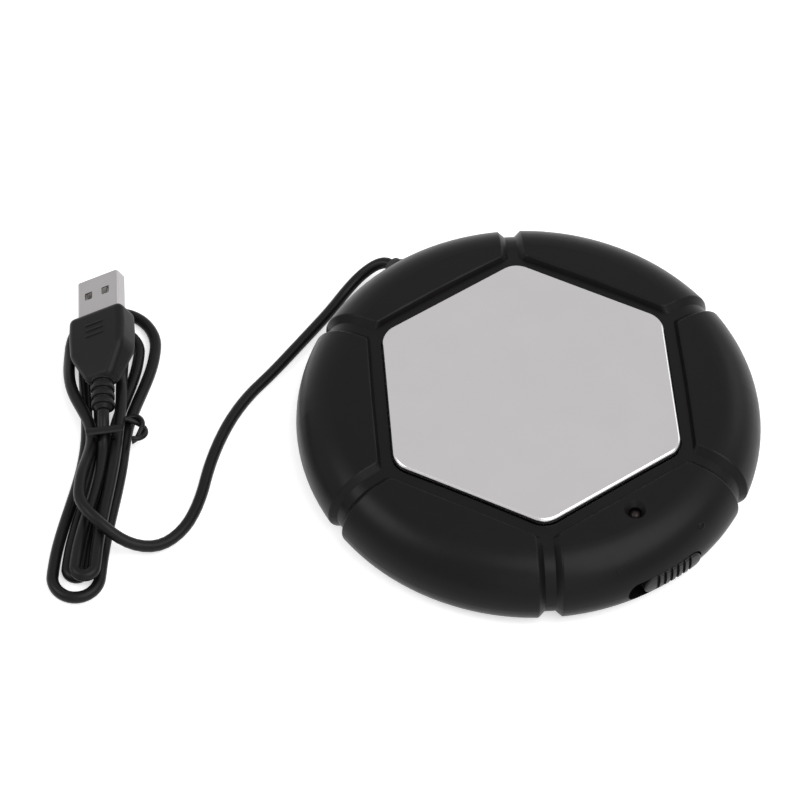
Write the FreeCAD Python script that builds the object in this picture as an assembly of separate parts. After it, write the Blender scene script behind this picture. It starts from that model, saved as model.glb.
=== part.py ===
import FreeCAD, Part
import math
import os

from FreeCAD import Placement, Rotation, Vector

# A small USB mug warmer: a low round housing moulded like a football, with a hexagonal
# metal warming plate, a slide switch in its rim, and a tied lead with a USB-A plug.
# Millimetres. +Z is up, z = 0 is the table, the switch faces -Y and the lead leaves at +Y.

os.makedirs("parts", exist_ok=True)

# Housing outline
RIM_RADIUS = 58.2
RIM_HEIGHT = 7.4
UPPER_RIM_ARC = 11.7
LOWER_ARC_MARGIN = 0.6
TOP_SLOPE = 4.5
COVER_BOTTOM = 2.0
COVER_WALL = 5.0
COVER_CEILING = 15.8
CEILING_ARC = 7.0

# Football pads
PAD_COUNT = 6
PAD_RELIEF = 1.55
CHANNEL_HALF_FLOOR = 1.35
CHANNEL_FLARE = 1.06
SURROUND_WIDTH = 3.1
PAD_FRONT_DRAFT = 0.58
PAD_CORNER = 1.6
PAD_EDGE = 0.55
PAD_ROOT = 1.0
CUTTER_INNER = 30.0
CUT_RISE = 5.0
CUT_OVERRUN = 0.3

# Warming plate and its well
PLATE_TOP = 20.0
PLATE_DEPTH = 3.0
PLATE_INSET = 22.7
PLATE_APOTHEM = RIM_RADIUS - PLATE_INSET
PLATE_CORNER = 6.0
PLATE_ROLL = 0.85
PLATE_SHEET = 1.0
PLATE_GAP = 0.3
LEDGE_WIDTH = 2.8
LEDGE_THICKNESS = 1.5
WELL_WALL = 2.0
GASKET_THICKNESS = 0.8
GASKET_MARGIN = 0.2
FILM_THICKNESS = 0.4
FILM_MARGIN = 1.0
STUD_RADIUS = 1.5
STUD_INSET = 11.5
STUD_COUNT = 3
STUD_ANGLE = 90.0
STUD_LENGTH = 8.2
STUD_CLEARANCE = 0.15
RETAINER_THICKNESS = 1.0
RETAINER_MARGIN = 0.5
NUT_ACROSS = 5.5
NUT_HEIGHT = 2.4
PAD_SIDE_GAP = 0.3
LEAD_WINDOW_HALF = 7.0
LEAD_WINDOW_DEPTH = 7.0
LEAD_WINDOW_INSET = 8.0

# Base cover
BASE_BOTTOM = 1.0
BASE_FLOOR = 1.8
BASE_FIT = 0.2
BASE_LIP_THICKNESS = 2.2
BASE_LIP_HEIGHT = 2.2
BASE_EDGE = 0.6
SCREW_INSET = 14.2
SCREW_COUNT = 4
SCREW_ANGLE = 45.0
SCREW_RADIUS = 1.4
SCREW_LENGTH = 8.6
SCREW_HEAD_RADIUS = 2.7
SCREW_HEAD_HEIGHT = 2.0
SCREW_SINK = 2.4
SCREW_FIT = 0.05
SCREW_PASS = 0.2
BOSS_RADIUS = 3.5
BOSS_JOINT = 5.0
BASE_BOSS_RADIUS = 4.4
FOOT_RADIUS = 6.0
FOOT_INSET = 16.2
FOOT_COUNT = 4
FOOT_RECESS = 0.6
FOOT_FIT = 0.1

# Circuit board
BOARD_HALF = 14.0
BOARD_INSET = 8.6
BOARD_DEPTH = 15.0
BOARD_BOTTOM = 3.6
BOARD_THICKNESS = 1.6
BOARD_POST_X = 11.2
BOARD_POST_MARGIN = 2.6
BOARD_POST_RADIUS = 2.8
BOARD_REST_X = 12.0
BOARD_REST_RADIUS = 1.5
BOARD_SCREW_RADIUS = 1.0
BOARD_SCREW_HEAD = 2.0
BOARD_SCREW_HEAD_HEIGHT = 1.4
BOARD_SCREW_DEPTH = 1.5
LEAD_HOLE = 0.55

# Slide switch and its knob
SLOT_HALF = 11.0
SLOT_HEIGHT = 6.0
KNOB_LENGTH = 17.0
KNOB_HEIGHT = 5.4
KNOB_TRAVEL = 4.0
KNOB_PROUD = 0.25
KNOB_EDGE = 0.5
KNOB_END_GAP = 0.5
GROOVE_COUNT = 6
GROOVE_PITCH = 1.9
GROOVE_WIDTH = 0.9
GROOVE_DEPTH = 0.8
GUIDE_INSET = 3.9
GUIDE_GAP = 0.25
FLANGE_THICKNESS = 1.2
FLANGE_HALF = 12.6
FLANGE_HEIGHT = 8.0
POCKET_SIDE = 0.3
POCKET_DEPTH = 4.5
FORK_HALF = 2.35
FORK_REACH = 1.95
FORK_HEIGHT = 3.0
LEVER_HALF = 1.0
LEVER_HEIGHT = 2.0
LEVER_FIT = 0.15
SWITCH_INSET = 7.8
SWITCH_DEPTH = 5.0
SWITCH_HALF = 6.0
SWITCH_HEIGHT = 4.4
SWITCH_SHEET = 0.4
SWITCH_BASE_DEPTH = 1.2
SLIDER_HALF = 2.25
SLIDER_HEIGHT = 3.0
SLIDER_THICKNESS = 1.4
PIN_COUNT = 3
PIN_PITCH = 3.0
PIN_WIDTH = 0.6
PIN_THICKNESS = 0.4
PIN_TAIL = 0.6

# Indicator light
LED_INSET = 14.3
LED_TOP = 18.1
LED_RADIUS = 1.5
LED_LENGTH = 5.3
LED_FLANGE_RADIUS = 1.9
LED_FLANGE_HEIGHT = 1.0
LED_LEAD = 0.5
LED_LEAD_PITCH = 2.54
LED_HOLE_FIT = 0.15
LED_SINK_RADIUS = 2.7
LED_SINK_DEPTH = 1.2
RESISTOR_RADIUS = 1.1
RESISTOR_LENGTH = 5.0
RESISTOR_X = 6.7
RESISTOR_BEHIND_LED = 2.5
RESISTOR_SPAN = 8.0
RESISTOR_LIFT = 1.3

# Inner wiring
WIRE_RADIUS = 0.65
TAB_X = 4.0
TAB_WIDTH = 3.2
TAB_LENGTH = 5.0
TAB_THICKNESS = 0.4
HEATER_WIRE_X = 6.5
HEATER_WIRE_MARGIN = 3.6
HEATER_WIRE_BEND = 2.0
SUPPLY_WIRE_X = 2.2
SUPPLY_WIRE_MARGIN = 1.7
SUPPLY_WIRE_BEND = 1.5

# Lead entry
CORD_RADIUS = 1.5
CORD_EXIT_INSET = 0.2
CORD_INNER_INSET = 15.2
CORD_FIT = 0.05
GLAND_RADIUS = 2.9
GLAND_COLLAR_RADIUS = 3.4
GLAND_TIP_RADIUS = 2.2
GLAND_COLLAR = 1.6
GLAND_TIP = 1.9
GLAND_FLANGE_RADIUS = 3.8
GLAND_FLANGE = 1.3
GLAND_FLANGE_GAP = 0.8
GLAND_FIT = 0.1
GLAND_INSET = 1.0
CLAMP_INSET = 11.2
CLAMP_HALF_DEPTH = 2.0
CLAMP_HALF_WIDTH = 8.5
CLAMP_THICKNESS = 3.0
CLAMP_SCREW_X = 5.6
CLAMP_SCREW_DEPTH = 5.0

# Hank, in its own frame: u across, v along, z up
HANK_X = -88.0
HANK_Y = 62.0
HANK_TURN = -34.8
FLAT = 1.5
SECOND = 5.2
WAIST_V = -6.5
WAIST_U = 2.5
WAIST_STEP = 3.75
UPPER_TIPS = (36.5, 30.5, 24.8)
UPPER_LEFT = (-9.2, -5.5, -1.8)
UPPER_RIGHT = (12.6, 8.5, 4.5)
LOWER_TIPS = (-52.5, -46.2, -49.3)
LOWER_RIGHT = (3.7, -0.1, 1.9)
LOWER_LEFT = (-10.1, -5.7, -7.9)
HANK_START = (-3.2, -23.5, 8.8)
LEAD_IN = 5.0
WAIST_LIFT = 0.8
HANK_END = (1.1, -1.4, 9.4)

# Twist tie
TIE_WIDTH = 2.2
TIE_THICKNESS = 0.7
TIE_GAP = 0.3
TIE_RISE = 2.1
TIE_CORNER = 2.6
EYE_RADIUS = 3.0

# Plug
PLUG_U = -0.9
PLUG_V = 28.0
PLUG_Z = 10.5
PLUG_ROLL = 33.0
SHELL_WIDTH = 12.0
SHELL_HEIGHT = 4.5
SHELL_REACH = 11.4
SHELL_ROOT = 4.0
SHELL_SHEET = 0.3
SHELL_CORNER = 0.9
WINDOW = 2.2
WINDOW_X = 2.5
WINDOW_Y = 6.2
TONGUE_THICKNESS = 1.9
CONTACT_PITCH = 2.3
CONTACT_COUNT = 4
CONTACT_WIDTH = 1.0
CONTACT_THICKNESS = 0.2
BODY_WIDTH = 15.6
BODY_THICKNESS = 8.0
BODY_STRAIGHT = 12.0
BODY_TAPER = 9.0
NECK_WIDTH = 6.4
NECK_THICKNESS = 5.6
NECK_OVERLAP = 1.5
RIB_COUNT = 4
RIB_PITCH = 2.1
RIB_WIDTH = 1.1
RIB_CORE = 2.2

# Free lead, as points of its route from the exit to the hank
ROUTE = (
    (0.0, 58.0, 7.4),
    (0.0, 63.0, 7.4),
    (-1.6, 66.6, 6.2),
    (-5.4, 68.0, 4.0),
    (-11.2, 66.0, 1.7),
    (-19.0, 62.2, 1.5),
    (-31.1, 56.3, 1.5),
    (-43.0, 51.9, 1.5),
    (-52.3, 49.2, 1.5),
    (-61.6, 44.4, 1.5),
    (-71.4, 36.8, 1.5),
    (-79.4, 28.4, 1.5),
    (-87.5, 22.9, 1.5),
    (-96.0, 21.6, 2.0),
    (-103.0, 25.2, 5.4),
    (-106.6, 33.1, 9.3),
)


def box(x0, x1, y0, y1, z0, z1):
    return Part.makeBox(x1 - x0, y1 - y0, z1 - z0, Vector(x0, y0, z0))


def rod(radius, x, y, z0, z1):
    return Part.makeCylinder(radius, z1 - z0, Vector(x, y, z0))


def rod_y(radius, x, z, y0, y1):
    return Part.makeCylinder(radius, y1 - y0, Vector(x, y0, z), Vector(0, 1, 0))


def turned(shape, angle):
    copy = shape.copy()
    copy.rotate(Vector(0, 0, 0), Vector(0, 0, 1), angle)
    return copy


def polar(radius, angle):
    return radius * math.cos(math.radians(angle)), radius * math.sin(math.radians(angle))


def hexagon(apothem, bottom, top, corner=0.0):
    reach = apothem / math.cos(math.radians(30))
    points = [Vector(*polar(reach, 60 * i), bottom) for i in range(7)]
    solid = Part.Face(Part.makePolygon(points)).extrude(Vector(0, 0, top - bottom))
    if corner:
        upright = [e for e in solid.Edges if abs(e.BoundBox.ZLength - (top - bottom)) < 0.001]
        solid = solid.makeFillet(corner, upright)
    return solid


def hexagon_ring(outer, inner, bottom, top, corner):
    hole = hexagon(inner, bottom - 1, top + 1, corner)
    return hexagon(outer, bottom, top, corner + outer - inner).cut(hole)


def rounded_bar(half_x, half_z, y0, y1, x, z, corner):
    bar = box(x - half_x, x + half_x, y0, y1, z - half_z, z + half_z)
    along = [e for e in bar.Edges if abs(e.BoundBox.YLength - (y1 - y0)) < 0.001]
    return bar.makeFillet(corner, along)


def save(name, shapes):
    solids = [s for shape in shapes for s in shape.Solids]
    result = solids[0] if len(solids) == 1 else Part.makeCompound(solids)
    result.exportStep(f"parts/{name}.step")
    volume = sum(s.Volume for s in solids)
    valid = all(s.isValid() for s in solids)
    print(f"{name:22s} solids {len(solids)} volume {volume:10.2f} valid {valid}")


# Places that follow the rim and the plate

LOWER_RIM_ARC = RIM_HEIGHT + LOWER_ARC_MARGIN
PAD_APOTHEM = PLATE_APOTHEM + SURROUND_WIDTH
RETAINER_APOTHEM = PLATE_APOTHEM - RETAINER_MARGIN
STUD_CIRCLE = PLATE_APOTHEM - STUD_INSET
LEAD_WINDOW_Y = LEAD_WINDOW_INSET - PLATE_APOTHEM
SCREW_CIRCLE = RIM_RADIUS - SCREW_INSET
FOOT_CIRCLE = RIM_RADIUS - FOOT_INSET
GUIDE_Y = GUIDE_INSET - RIM_RADIUS
SWITCH_FRONT = SWITCH_INSET - RIM_RADIUS
LED_Y = LED_INSET - RIM_RADIUS
RESISTOR_Y = LED_Y + RESISTOR_BEHIND_LED
BOARD_FRONT = BOARD_INSET - RIM_RADIUS
BOARD_BACK = BOARD_FRONT + BOARD_DEPTH
BOARD_POST_Y = BOARD_BACK - BOARD_POST_MARGIN
BOARD_REST_Y = BOARD_FRONT + BOARD_POST_MARGIN
CLAMP_Y = RIM_RADIUS - CLAMP_INSET
CORD_INNER_Y = RIM_RADIUS - CORD_INNER_INSET
CORD_EXIT_Y = RIM_RADIUS - CORD_EXIT_INSET
GLAND_SEAT = RIM_RADIUS - GLAND_INSET


# Rim profile

UPPER_CENTRE = RIM_RADIUS - UPPER_RIM_ARC
LOWER_CENTRE = RIM_RADIUS - LOWER_RIM_ARC


def rim_points(inset, inner, foot):
    """Corner and arc points, in (r, z), of the outside drawn in by inset."""
    slope = math.radians(TOP_SLOPE)
    upper = UPPER_RIM_ARC - inset
    lower = LOWER_RIM_ARC - inset
    shoulder = (UPPER_CENTRE + upper * math.sin(slope), RIM_HEIGHT + upper * math.cos(slope))
    start = (inner, shoulder[1] + (shoulder[0] - inner) * math.tan(slope))
    half = math.radians(TOP_SLOPE / 2 + 45)
    upper_mid = (UPPER_CENTRE + upper * math.sin(half), RIM_HEIGHT + upper * math.cos(half))
    waist = (UPPER_CENTRE + upper, RIM_HEIGHT)
    drop = math.asin((RIM_HEIGHT - foot) / lower)
    lower_mid = (LOWER_CENTRE + lower * math.cos(drop / 2), RIM_HEIGHT - lower * math.sin(drop / 2))
    end = (LOWER_CENTRE + lower * math.cos(drop), foot)
    return start, shoulder, upper_mid, waist, lower_mid, end


def rim_edges(inset, inner, foot):
    p = [Vector(r, 0, z) for r, z in rim_points(inset, inner, foot)]
    return [
        Part.LineSegment(p[0], p[1]).toShape(),
        Part.Arc(p[1], p[2], p[3]).toShape(),
        Part.Arc(p[3], p[4], p[5]).toShape(),
    ]


def revolved(edges, closing):
    """Closes rim edges with straight runs through the (r, z) points and turns them round."""
    first = edges[0].Vertexes[0].Point
    last = edges[-1].Vertexes[-1].Point
    path = [last] + [Vector(r, 0, z) for r, z in closing] + [first]
    runs = [Part.LineSegment(a, b).toShape() for a, b in zip(path, path[1:])]
    face = Part.Face(Part.Wire(edges + runs))
    return face.revolve(Vector(0, 0, 0), Vector(0, 0, 1), 360)


def web_solid():
    inner = PLATE_APOTHEM / 2
    return revolved(rim_edges(PAD_RELIEF, inner, COVER_BOTTOM), [(0, COVER_BOTTOM), (0, COVER_CEILING)])


def pad_ring():
    inner = PAD_APOTHEM - 6
    outside = rim_edges(0, inner, COVER_BOTTOM)
    back = [e.reversed() for e in reversed(rim_edges(PAD_RELIEF + PAD_ROOT, inner, COVER_BOTTOM))]
    a = outside[-1].Vertexes[-1].Point
    b = Vector(rim_points(PAD_RELIEF + PAD_ROOT, inner, COVER_BOTTOM)[-1][0], 0, COVER_BOTTOM)
    c = Vector(inner, 0, rim_points(PAD_RELIEF + PAD_ROOT, inner, COVER_BOTTOM)[0][1])
    d = Vector(inner, 0, rim_points(0, inner, COVER_BOTTOM)[0][1])
    ends = [Part.LineSegment(a, b).toShape(), Part.LineSegment(c, d).toShape()]
    face = Part.Face(Part.Wire(Part.__sortEdges__(outside + back + ends)))
    return face.revolve(Vector(0, 0, 0), Vector(0, 0, 1), 360)


def channel_cutter():
    """A trapezoid groove swept along the meridian, flat floor and flared walls."""
    depth = PAD_RELIEF + CUT_OVERRUN
    rise = PAD_RELIEF + 2 * CUT_OVERRUN + 1.2
    edges = rim_edges(depth, CUTTER_INNER, COVER_BOTTOM - CUT_OVERRUN)
    start = edges[0].Vertexes[0].Point
    slope = math.radians(TOP_SLOPE)
    up = Vector(math.sin(slope), 0, math.cos(slope))
    low = CHANNEL_HALF_FLOOR - CUT_OVERRUN * CHANNEL_FLARE
    high = low + rise * CHANNEL_FLARE
    across = Vector(0, 1, 0)
    corners = [start - across * low, start + across * low]
    corners += [start + up * rise + across * high, start + up * rise - across * high]
    profile = Part.makePolygon(corners + corners[:1])
    return Part.Wire(edges).makePipeShell([profile], True, False)


def pad_front_cutter():
    """The tapered hexagon that clears the pads from the plate's surround."""
    low, high = COVER_CEILING - 1, PLATE_TOP + 1
    surface = rim_points(PAD_RELIEF, PAD_APOTHEM, COVER_BOTTOM)[0][1]
    wires = []
    for z in (low, high):
        reach = (PAD_APOTHEM + (z - surface) * PAD_FRONT_DRAFT) / math.cos(math.radians(30))
        wires.append(Part.makePolygon([Vector(*polar(reach, 60 * i), z) for i in range(7)]))
    return Part.makeLoft(wires, True, True)


def on_outside(point):
    """True where a point lies on the pads' outer surface, above the bottom edge."""
    r, z = math.hypot(point.x, point.y), point.z
    if z < COVER_BOTTOM + 0.1:
        return False
    start, shoulder, _, waist, _, _ = rim_points(0, CUTTER_INNER, COVER_BOTTOM)
    if r < shoulder[0]:
        slope = math.tan(math.radians(TOP_SLOPE))
        return abs(z - (shoulder[1] + (shoulder[0] - r) * slope)) < 0.05
    if z > waist[1]:
        return abs(math.hypot(r - UPPER_CENTRE, z - RIM_HEIGHT) - UPPER_RIM_ARC) < 0.05
    return abs(math.hypot(r - LOWER_CENTRE, z - RIM_HEIGHT) - LOWER_RIM_ARC) < 0.05


def middle_of(edge):
    return edge.valueAt((edge.FirstParameter + edge.LastParameter) / 2)


def one_pad():
    sector_reach = RIM_RADIUS * 2
    half = 180 / PAD_COUNT
    corners = [Vector(0, 0, 0), Vector(*polar(sector_reach, -half), 0), Vector(*polar(sector_reach, half), 0)]
    wedge = Part.Face(Part.makePolygon(corners + corners[:1])).extrude(Vector(0, 0, PLATE_TOP + CUT_RISE))
    pad = pad_ring().common(wedge)
    groove = channel_cutter()
    pad = pad.cut([turned(groove, half), turned(groove, -half), turned(pad_front_cutter(), half)])
    front = PAD_APOTHEM + 1.5
    corner = [e for e in pad.Edges if middle_of(e).x < front and abs(middle_of(e).y) > 10
              and e.BoundBox.ZLength > 1.0 and e.Length < 6]
    pad = pad.makeFillet(PAD_CORNER, corner)
    rim = [e for e in pad.Edges if on_outside(middle_of(e)) and not on_seam(e)]
    pad = pad.makeFillet(PAD_EDGE, rim)
    return pad.Solids[0]


def on_seam(edge):
    """True for the arcs that run round the body between its own outer faces."""
    middle = middle_of(edge)
    ends = [v.Point for v in edge.Vertexes]
    radii = [math.hypot(p.x, p.y) for p in ends + [middle]]
    heights = [p.z for p in ends + [middle]]
    level = max(heights) - min(heights) < 0.02
    return level and max(radii) - min(radii) < 0.02 and edge.Length > 5


def pads():
    pad = turned(one_pad(), 30)
    return [turned(pad, 360 / PAD_COUNT * i) for i in range(PAD_COUNT)]


# Housing

WALL_INNER = RIM_RADIUS - COVER_WALL
WELL_APOTHEM = PLATE_APOTHEM + PLATE_GAP
LEDGE_APOTHEM = WELL_APOTHEM - LEDGE_WIDTH
LEDGE_TOP = PLATE_TOP - PLATE_DEPTH - GASKET_THICKNESS
LEDGE_BOTTOM = LEDGE_TOP - LEDGE_THICKNESS
BASE_TOP = BASE_BOTTOM + BASE_FLOOR
BOARD_TOP = BOARD_BOTTOM + BOARD_THICKNESS
KNOB_REST = SLOT_HALF - KNOB_END_GAP - KNOB_LENGTH / 2


def screw_places():
    return [polar(SCREW_CIRCLE, SCREW_ANGLE + 360 / SCREW_COUNT * i) for i in range(SCREW_COUNT)]


def foot_places():
    return [polar(FOOT_CIRCLE, 360 / FOOT_COUNT * i) for i in range(FOOT_COUNT)]


def stud_places():
    return [polar(STUD_CIRCLE, STUD_ANGLE + 360 / STUD_COUNT * i) for i in range(STUD_COUNT)]


def cover_cavity():
    shoulder = WALL_INNER - CEILING_ARC
    spring = COVER_CEILING - CEILING_ARC
    mid = (shoulder + CEILING_ARC * math.sin(math.radians(45)), spring + CEILING_ARC * math.cos(math.radians(45)))
    a = Vector(0, 0, COVER_CEILING)
    b = Vector(shoulder, 0, COVER_CEILING)
    c = Vector(WALL_INNER, 0, spring)
    d = Vector(WALL_INNER, 0, COVER_BOTTOM - 1)
    edges = [
        Part.LineSegment(a, b).toShape(),
        Part.Arc(b, Vector(mid[0], 0, mid[1]), c).toShape(),
        Part.LineSegment(c, d).toShape(),
    ]
    return revolved(edges, [(0, COVER_BOTTOM - 1)])


def slot_cutter(half, height, y0, y1, x=0.0):
    """A bar along Y with round ends in X, centred on the rim's height."""
    radius = height / 2
    low, high = x - half + radius, x + half - radius
    a, b = Vector(low, y0, RIM_HEIGHT - radius), Vector(high, y0, RIM_HEIGHT - radius)
    c, d = Vector(high, y0, RIM_HEIGHT + radius), Vector(low, y0, RIM_HEIGHT + radius)
    edges = [
        Part.LineSegment(a, b).toShape(),
        Part.Arc(b, Vector(x + half, y0, RIM_HEIGHT), c).toShape(),
        Part.LineSegment(c, d).toShape(),
        Part.Arc(d, Vector(x - half, y0, RIM_HEIGHT), a).toShape(),
    ]
    return Part.Face(Part.Wire(edges)).extrude(Vector(0, y1 - y0, 0))


def led_opening():
    hole = rod(LED_RADIUS + LED_HOLE_FIT, 0, LED_Y, COVER_CEILING - 2, PLATE_TOP)
    top = rim_points(0, -LED_Y, COVER_BOTTOM)[0][1]
    deep = top - LED_SINK_DEPTH
    low = LED_RADIUS + LED_HOLE_FIT
    flare = (LED_SINK_RADIUS - low) / LED_SINK_DEPTH
    cone = Part.makeCone(low, low + 2 * LED_SINK_DEPTH * flare, 2 * LED_SINK_DEPTH, Vector(0, LED_Y, deep))
    return hole.fuse(cone)


def knob_pocket():
    half = FLANGE_HALF + KNOB_TRAVEL / 2 + POCKET_SIDE
    tall = FLANGE_HEIGHT / 2 + 0.2
    return box(-half, half, GUIDE_Y, GUIDE_Y + POCKET_DEPTH, RIM_HEIGHT - tall, RIM_HEIGHT + tall)


def top_cover():
    body = web_solid().fuse(pads())
    body = body.cut(cover_cavity())
    well = hexagon(WELL_APOTHEM + WELL_WALL, LEDGE_BOTTOM, LEDGE_TOP + 1)
    bosses = [rod(BOSS_RADIUS, x, y, BOSS_JOINT, COVER_CEILING + 0.5) for x, y in screw_places()]
    body = body.fuse([well] + bosses)
    pilots = [rod(SCREW_RADIUS + SCREW_FIT, x, y, 0, BOSS_JOINT + SCREW_LENGTH) for x, y in screw_places()]
    cuts = pilots + [
        hexagon(WELL_APOTHEM, LEDGE_TOP, PLATE_TOP + CUT_RISE, PLATE_CORNER + PLATE_GAP),
        hexagon(LEDGE_APOTHEM, LEDGE_BOTTOM - 1, PLATE_TOP, PLATE_CORNER - 2),
        led_opening(),
        knob_pocket(),
        slot_cutter(SLOT_HALF, SLOT_HEIGHT, -RIM_RADIUS - 1, GUIDE_Y + 1),
        rod_y(GLAND_RADIUS + GLAND_FIT, 0, RIM_HEIGHT, WALL_INNER - 1, RIM_RADIUS + 1),
        rod_y(GLAND_COLLAR_RADIUS + GLAND_FIT, 0, RIM_HEIGHT, GLAND_SEAT, RIM_RADIUS + 1),
    ]
    return body.cut(cuts)


def base_cover():
    outer = WALL_INNER - BASE_FIT
    floor = rod(outer, 0, 0, BASE_BOTTOM, BASE_TOP)
    edge = [e for e in floor.Edges if abs(e.BoundBox.ZMax - BASE_BOTTOM) < 0.001 and e.Length > 10]
    floor = floor.makeFillet(BASE_EDGE, edge)
    lip_top = BASE_TOP + BASE_LIP_HEIGHT
    lip = rod(outer, 0, 0, BASE_TOP, lip_top).cut(rod(outer - BASE_LIP_THICKNESS, 0, 0, 0, lip_top + 1))
    half = FLANGE_HALF + KNOB_TRAVEL / 2 + POCKET_SIDE + 1
    notch = box(-half, half, -RIM_RADIUS, BOARD_BACK, BASE_TOP, lip_top + 1)
    gate = GLAND_FLANGE_RADIUS + 1
    back = box(-gate, gate, CLAMP_Y, RIM_RADIUS, BASE_TOP, lip_top + 1)
    lip = lip.cut([notch, back])
    bosses = [rod(BASE_BOSS_RADIUS, x, y, BASE_BOTTOM, BOSS_JOINT) for x, y in screw_places()]
    posts = []
    for side in (-1, 1):
        posts.append(rod(BOARD_POST_RADIUS, side * BOARD_POST_X, BOARD_POST_Y, BASE_BOTTOM + 0.5, BOARD_BOTTOM))
        posts.append(rod(BOARD_REST_RADIUS, side * BOARD_REST_X, BOARD_REST_Y, BASE_BOTTOM + 0.5, BOARD_BOTTOM))
    saddle = box(-CLAMP_HALF_WIDTH, CLAMP_HALF_WIDTH, CLAMP_Y - CLAMP_HALF_DEPTH, CLAMP_Y + CLAMP_HALF_DEPTH,
                 BASE_BOTTOM + 0.5, RIM_HEIGHT)
    body = floor.fuse([lip, saddle] + bosses + posts)
    seat = BASE_BOTTOM + SCREW_SINK
    cuts = [rod_y(CORD_RADIUS, 0, RIM_HEIGHT, CORD_INNER_Y, RIM_RADIUS)]
    for x, y in screw_places():
        cuts.append(rod(SCREW_HEAD_RADIUS + SCREW_PASS, x, y, 0, seat))
        cuts.append(rod(SCREW_RADIUS + SCREW_PASS, x, y, 0, BOSS_JOINT + 1))
    for x, y in foot_places():
        cuts.append(rod(FOOT_RADIUS + FOOT_FIT, x, y, 0, BASE_BOTTOM + FOOT_RECESS))
    for side in (-1, 1):
        bore = BOARD_SCREW_RADIUS + SCREW_FIT
        deep = BOARD_BOTTOM - BOARD_SCREW_DEPTH - 0.2
        cuts.append(rod(bore, side * BOARD_POST_X, BOARD_POST_Y, deep, BOARD_BOTTOM + 1))
        low = RIM_HEIGHT - CLAMP_SCREW_DEPTH + 0.4
        cuts.append(rod(bore, side * CLAMP_SCREW_X, CLAMP_Y, low, RIM_HEIGHT + 1))
    return body.cut(cuts)


def pan_screw(x, y, seat, head_radius, head_height, shank_radius, length, up):
    """A domed head above or below its seat, with the shank the other way."""
    way = 1 if up else -1
    head = Part.makeCylinder(head_radius, head_height, Vector(x, y, seat), Vector(0, 0, way))
    top = [e for e in head.Edges if abs(middle_of(e).z - seat - way * head_height) < 0.001]
    head = head.makeFillet(head_height * 0.6, top)
    shank = Part.makeCylinder(shank_radius, length, Vector(x, y, seat), Vector(0, 0, -way))
    tip = [e for e in shank.Edges if abs(middle_of(e).z - seat + way * length) < 0.001]
    shank = shank.makeChamfer(shank_radius * 0.4, tip)
    far = seat + way * head_height
    return head.fuse(shank).cut(cross_recess(x, y, far, head_radius * 0.5, way))


def cross_recess(x, y, far, reach, way):
    deep = reach * 0.7
    low, high = sorted((far - way * deep, far + way))
    slim = reach * 0.22
    return box(x - reach, x + reach, y - slim, y + slim, low, high).fuse(
        box(x - slim, x + slim, y - reach, y + reach, low, high))


def housing_screws():
    seat = BASE_BOTTOM + SCREW_SINK
    length = BOSS_JOINT + SCREW_LENGTH - seat - 0.6
    return [pan_screw(x, y, seat, SCREW_HEAD_RADIUS, SCREW_HEAD_HEIGHT, SCREW_RADIUS, length, False)
            for x, y in screw_places()]


def rubber_feet():
    feet = []
    for x, y in foot_places():
        foot = rod(FOOT_RADIUS, x, y, 0, BASE_BOTTOM + FOOT_RECESS)
        edge = [e for e in foot.Edges if abs(middle_of(e).z) < 0.001]
        feet.append(foot.makeChamfer(0.3, edge))
    return feet


# Warming plate stack

def warming_plate():
    bottom = PLATE_TOP - PLATE_DEPTH
    pan = hexagon(PLATE_APOTHEM, bottom, PLATE_TOP, PLATE_CORNER)
    rim = [e for e in pan.Edges if abs(middle_of(e).z - PLATE_TOP) < 0.001]
    pan = pan.makeFillet(PLATE_ROLL, rim)
    inside = PLATE_APOTHEM - PLATE_SHEET
    pan = pan.cut(hexagon(inside, bottom - 1, PLATE_TOP - PLATE_SHEET, PLATE_CORNER - PLATE_SHEET))
    top = PLATE_TOP - PLATE_SHEET
    studs = [rod(STUD_RADIUS, x, y, top - STUD_LENGTH, top + 0.3) for x, y in stud_places()]
    return pan.fuse(studs)


def plate_gasket():
    outer = WELL_APOTHEM - GASKET_MARGIN
    inner = LEDGE_APOTHEM + GASKET_MARGIN
    return hexagon_ring(outer, inner, LEDGE_TOP, LEDGE_TOP + GASKET_THICKNESS, PLATE_CORNER - 2)


def stud_holes(bottom, top):
    return [rod(STUD_RADIUS + STUD_CLEARANCE, x, y, bottom - 1, top + 1) for x, y in stud_places()]


def lead_window(bottom, top):
    half = LEAD_WINDOW_DEPTH / 2
    return box(-LEAD_WINDOW_HALF, LEAD_WINDOW_HALF, LEAD_WINDOW_Y - half, LEAD_WINDOW_Y + half, bottom - 1, top + 1)


FILM_TOP = PLATE_TOP - PLATE_SHEET
FILM_BOTTOM = FILM_TOP - FILM_THICKNESS


def heater_film():
    film = hexagon(PLATE_APOTHEM - PLATE_SHEET - FILM_MARGIN, FILM_BOTTOM, FILM_TOP, PLATE_CORNER - 2)
    return film.cut(stud_holes(FILM_BOTTOM, FILM_TOP))


def heater_terminals():
    tabs = []
    for side in (-1, 1):
        x = side * TAB_X
        tab = box(x - TAB_WIDTH / 2, x + TAB_WIDTH / 2, LEAD_WINDOW_Y - TAB_LENGTH / 2,
                  LEAD_WINDOW_Y + TAB_LENGTH / 2, FILM_BOTTOM - TAB_THICKNESS, FILM_BOTTOM)
        tabs.append(tab)
    return tabs


def insulation_pad():
    pad = hexagon(LEDGE_APOTHEM - PAD_SIDE_GAP, LEDGE_BOTTOM, FILM_BOTTOM, PLATE_CORNER - 2)
    return pad.cut(stud_holes(LEDGE_BOTTOM, FILM_BOTTOM) + [lead_window(LEDGE_BOTTOM, FILM_BOTTOM)])


RETAINER_BOTTOM = LEDGE_BOTTOM - RETAINER_THICKNESS


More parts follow.
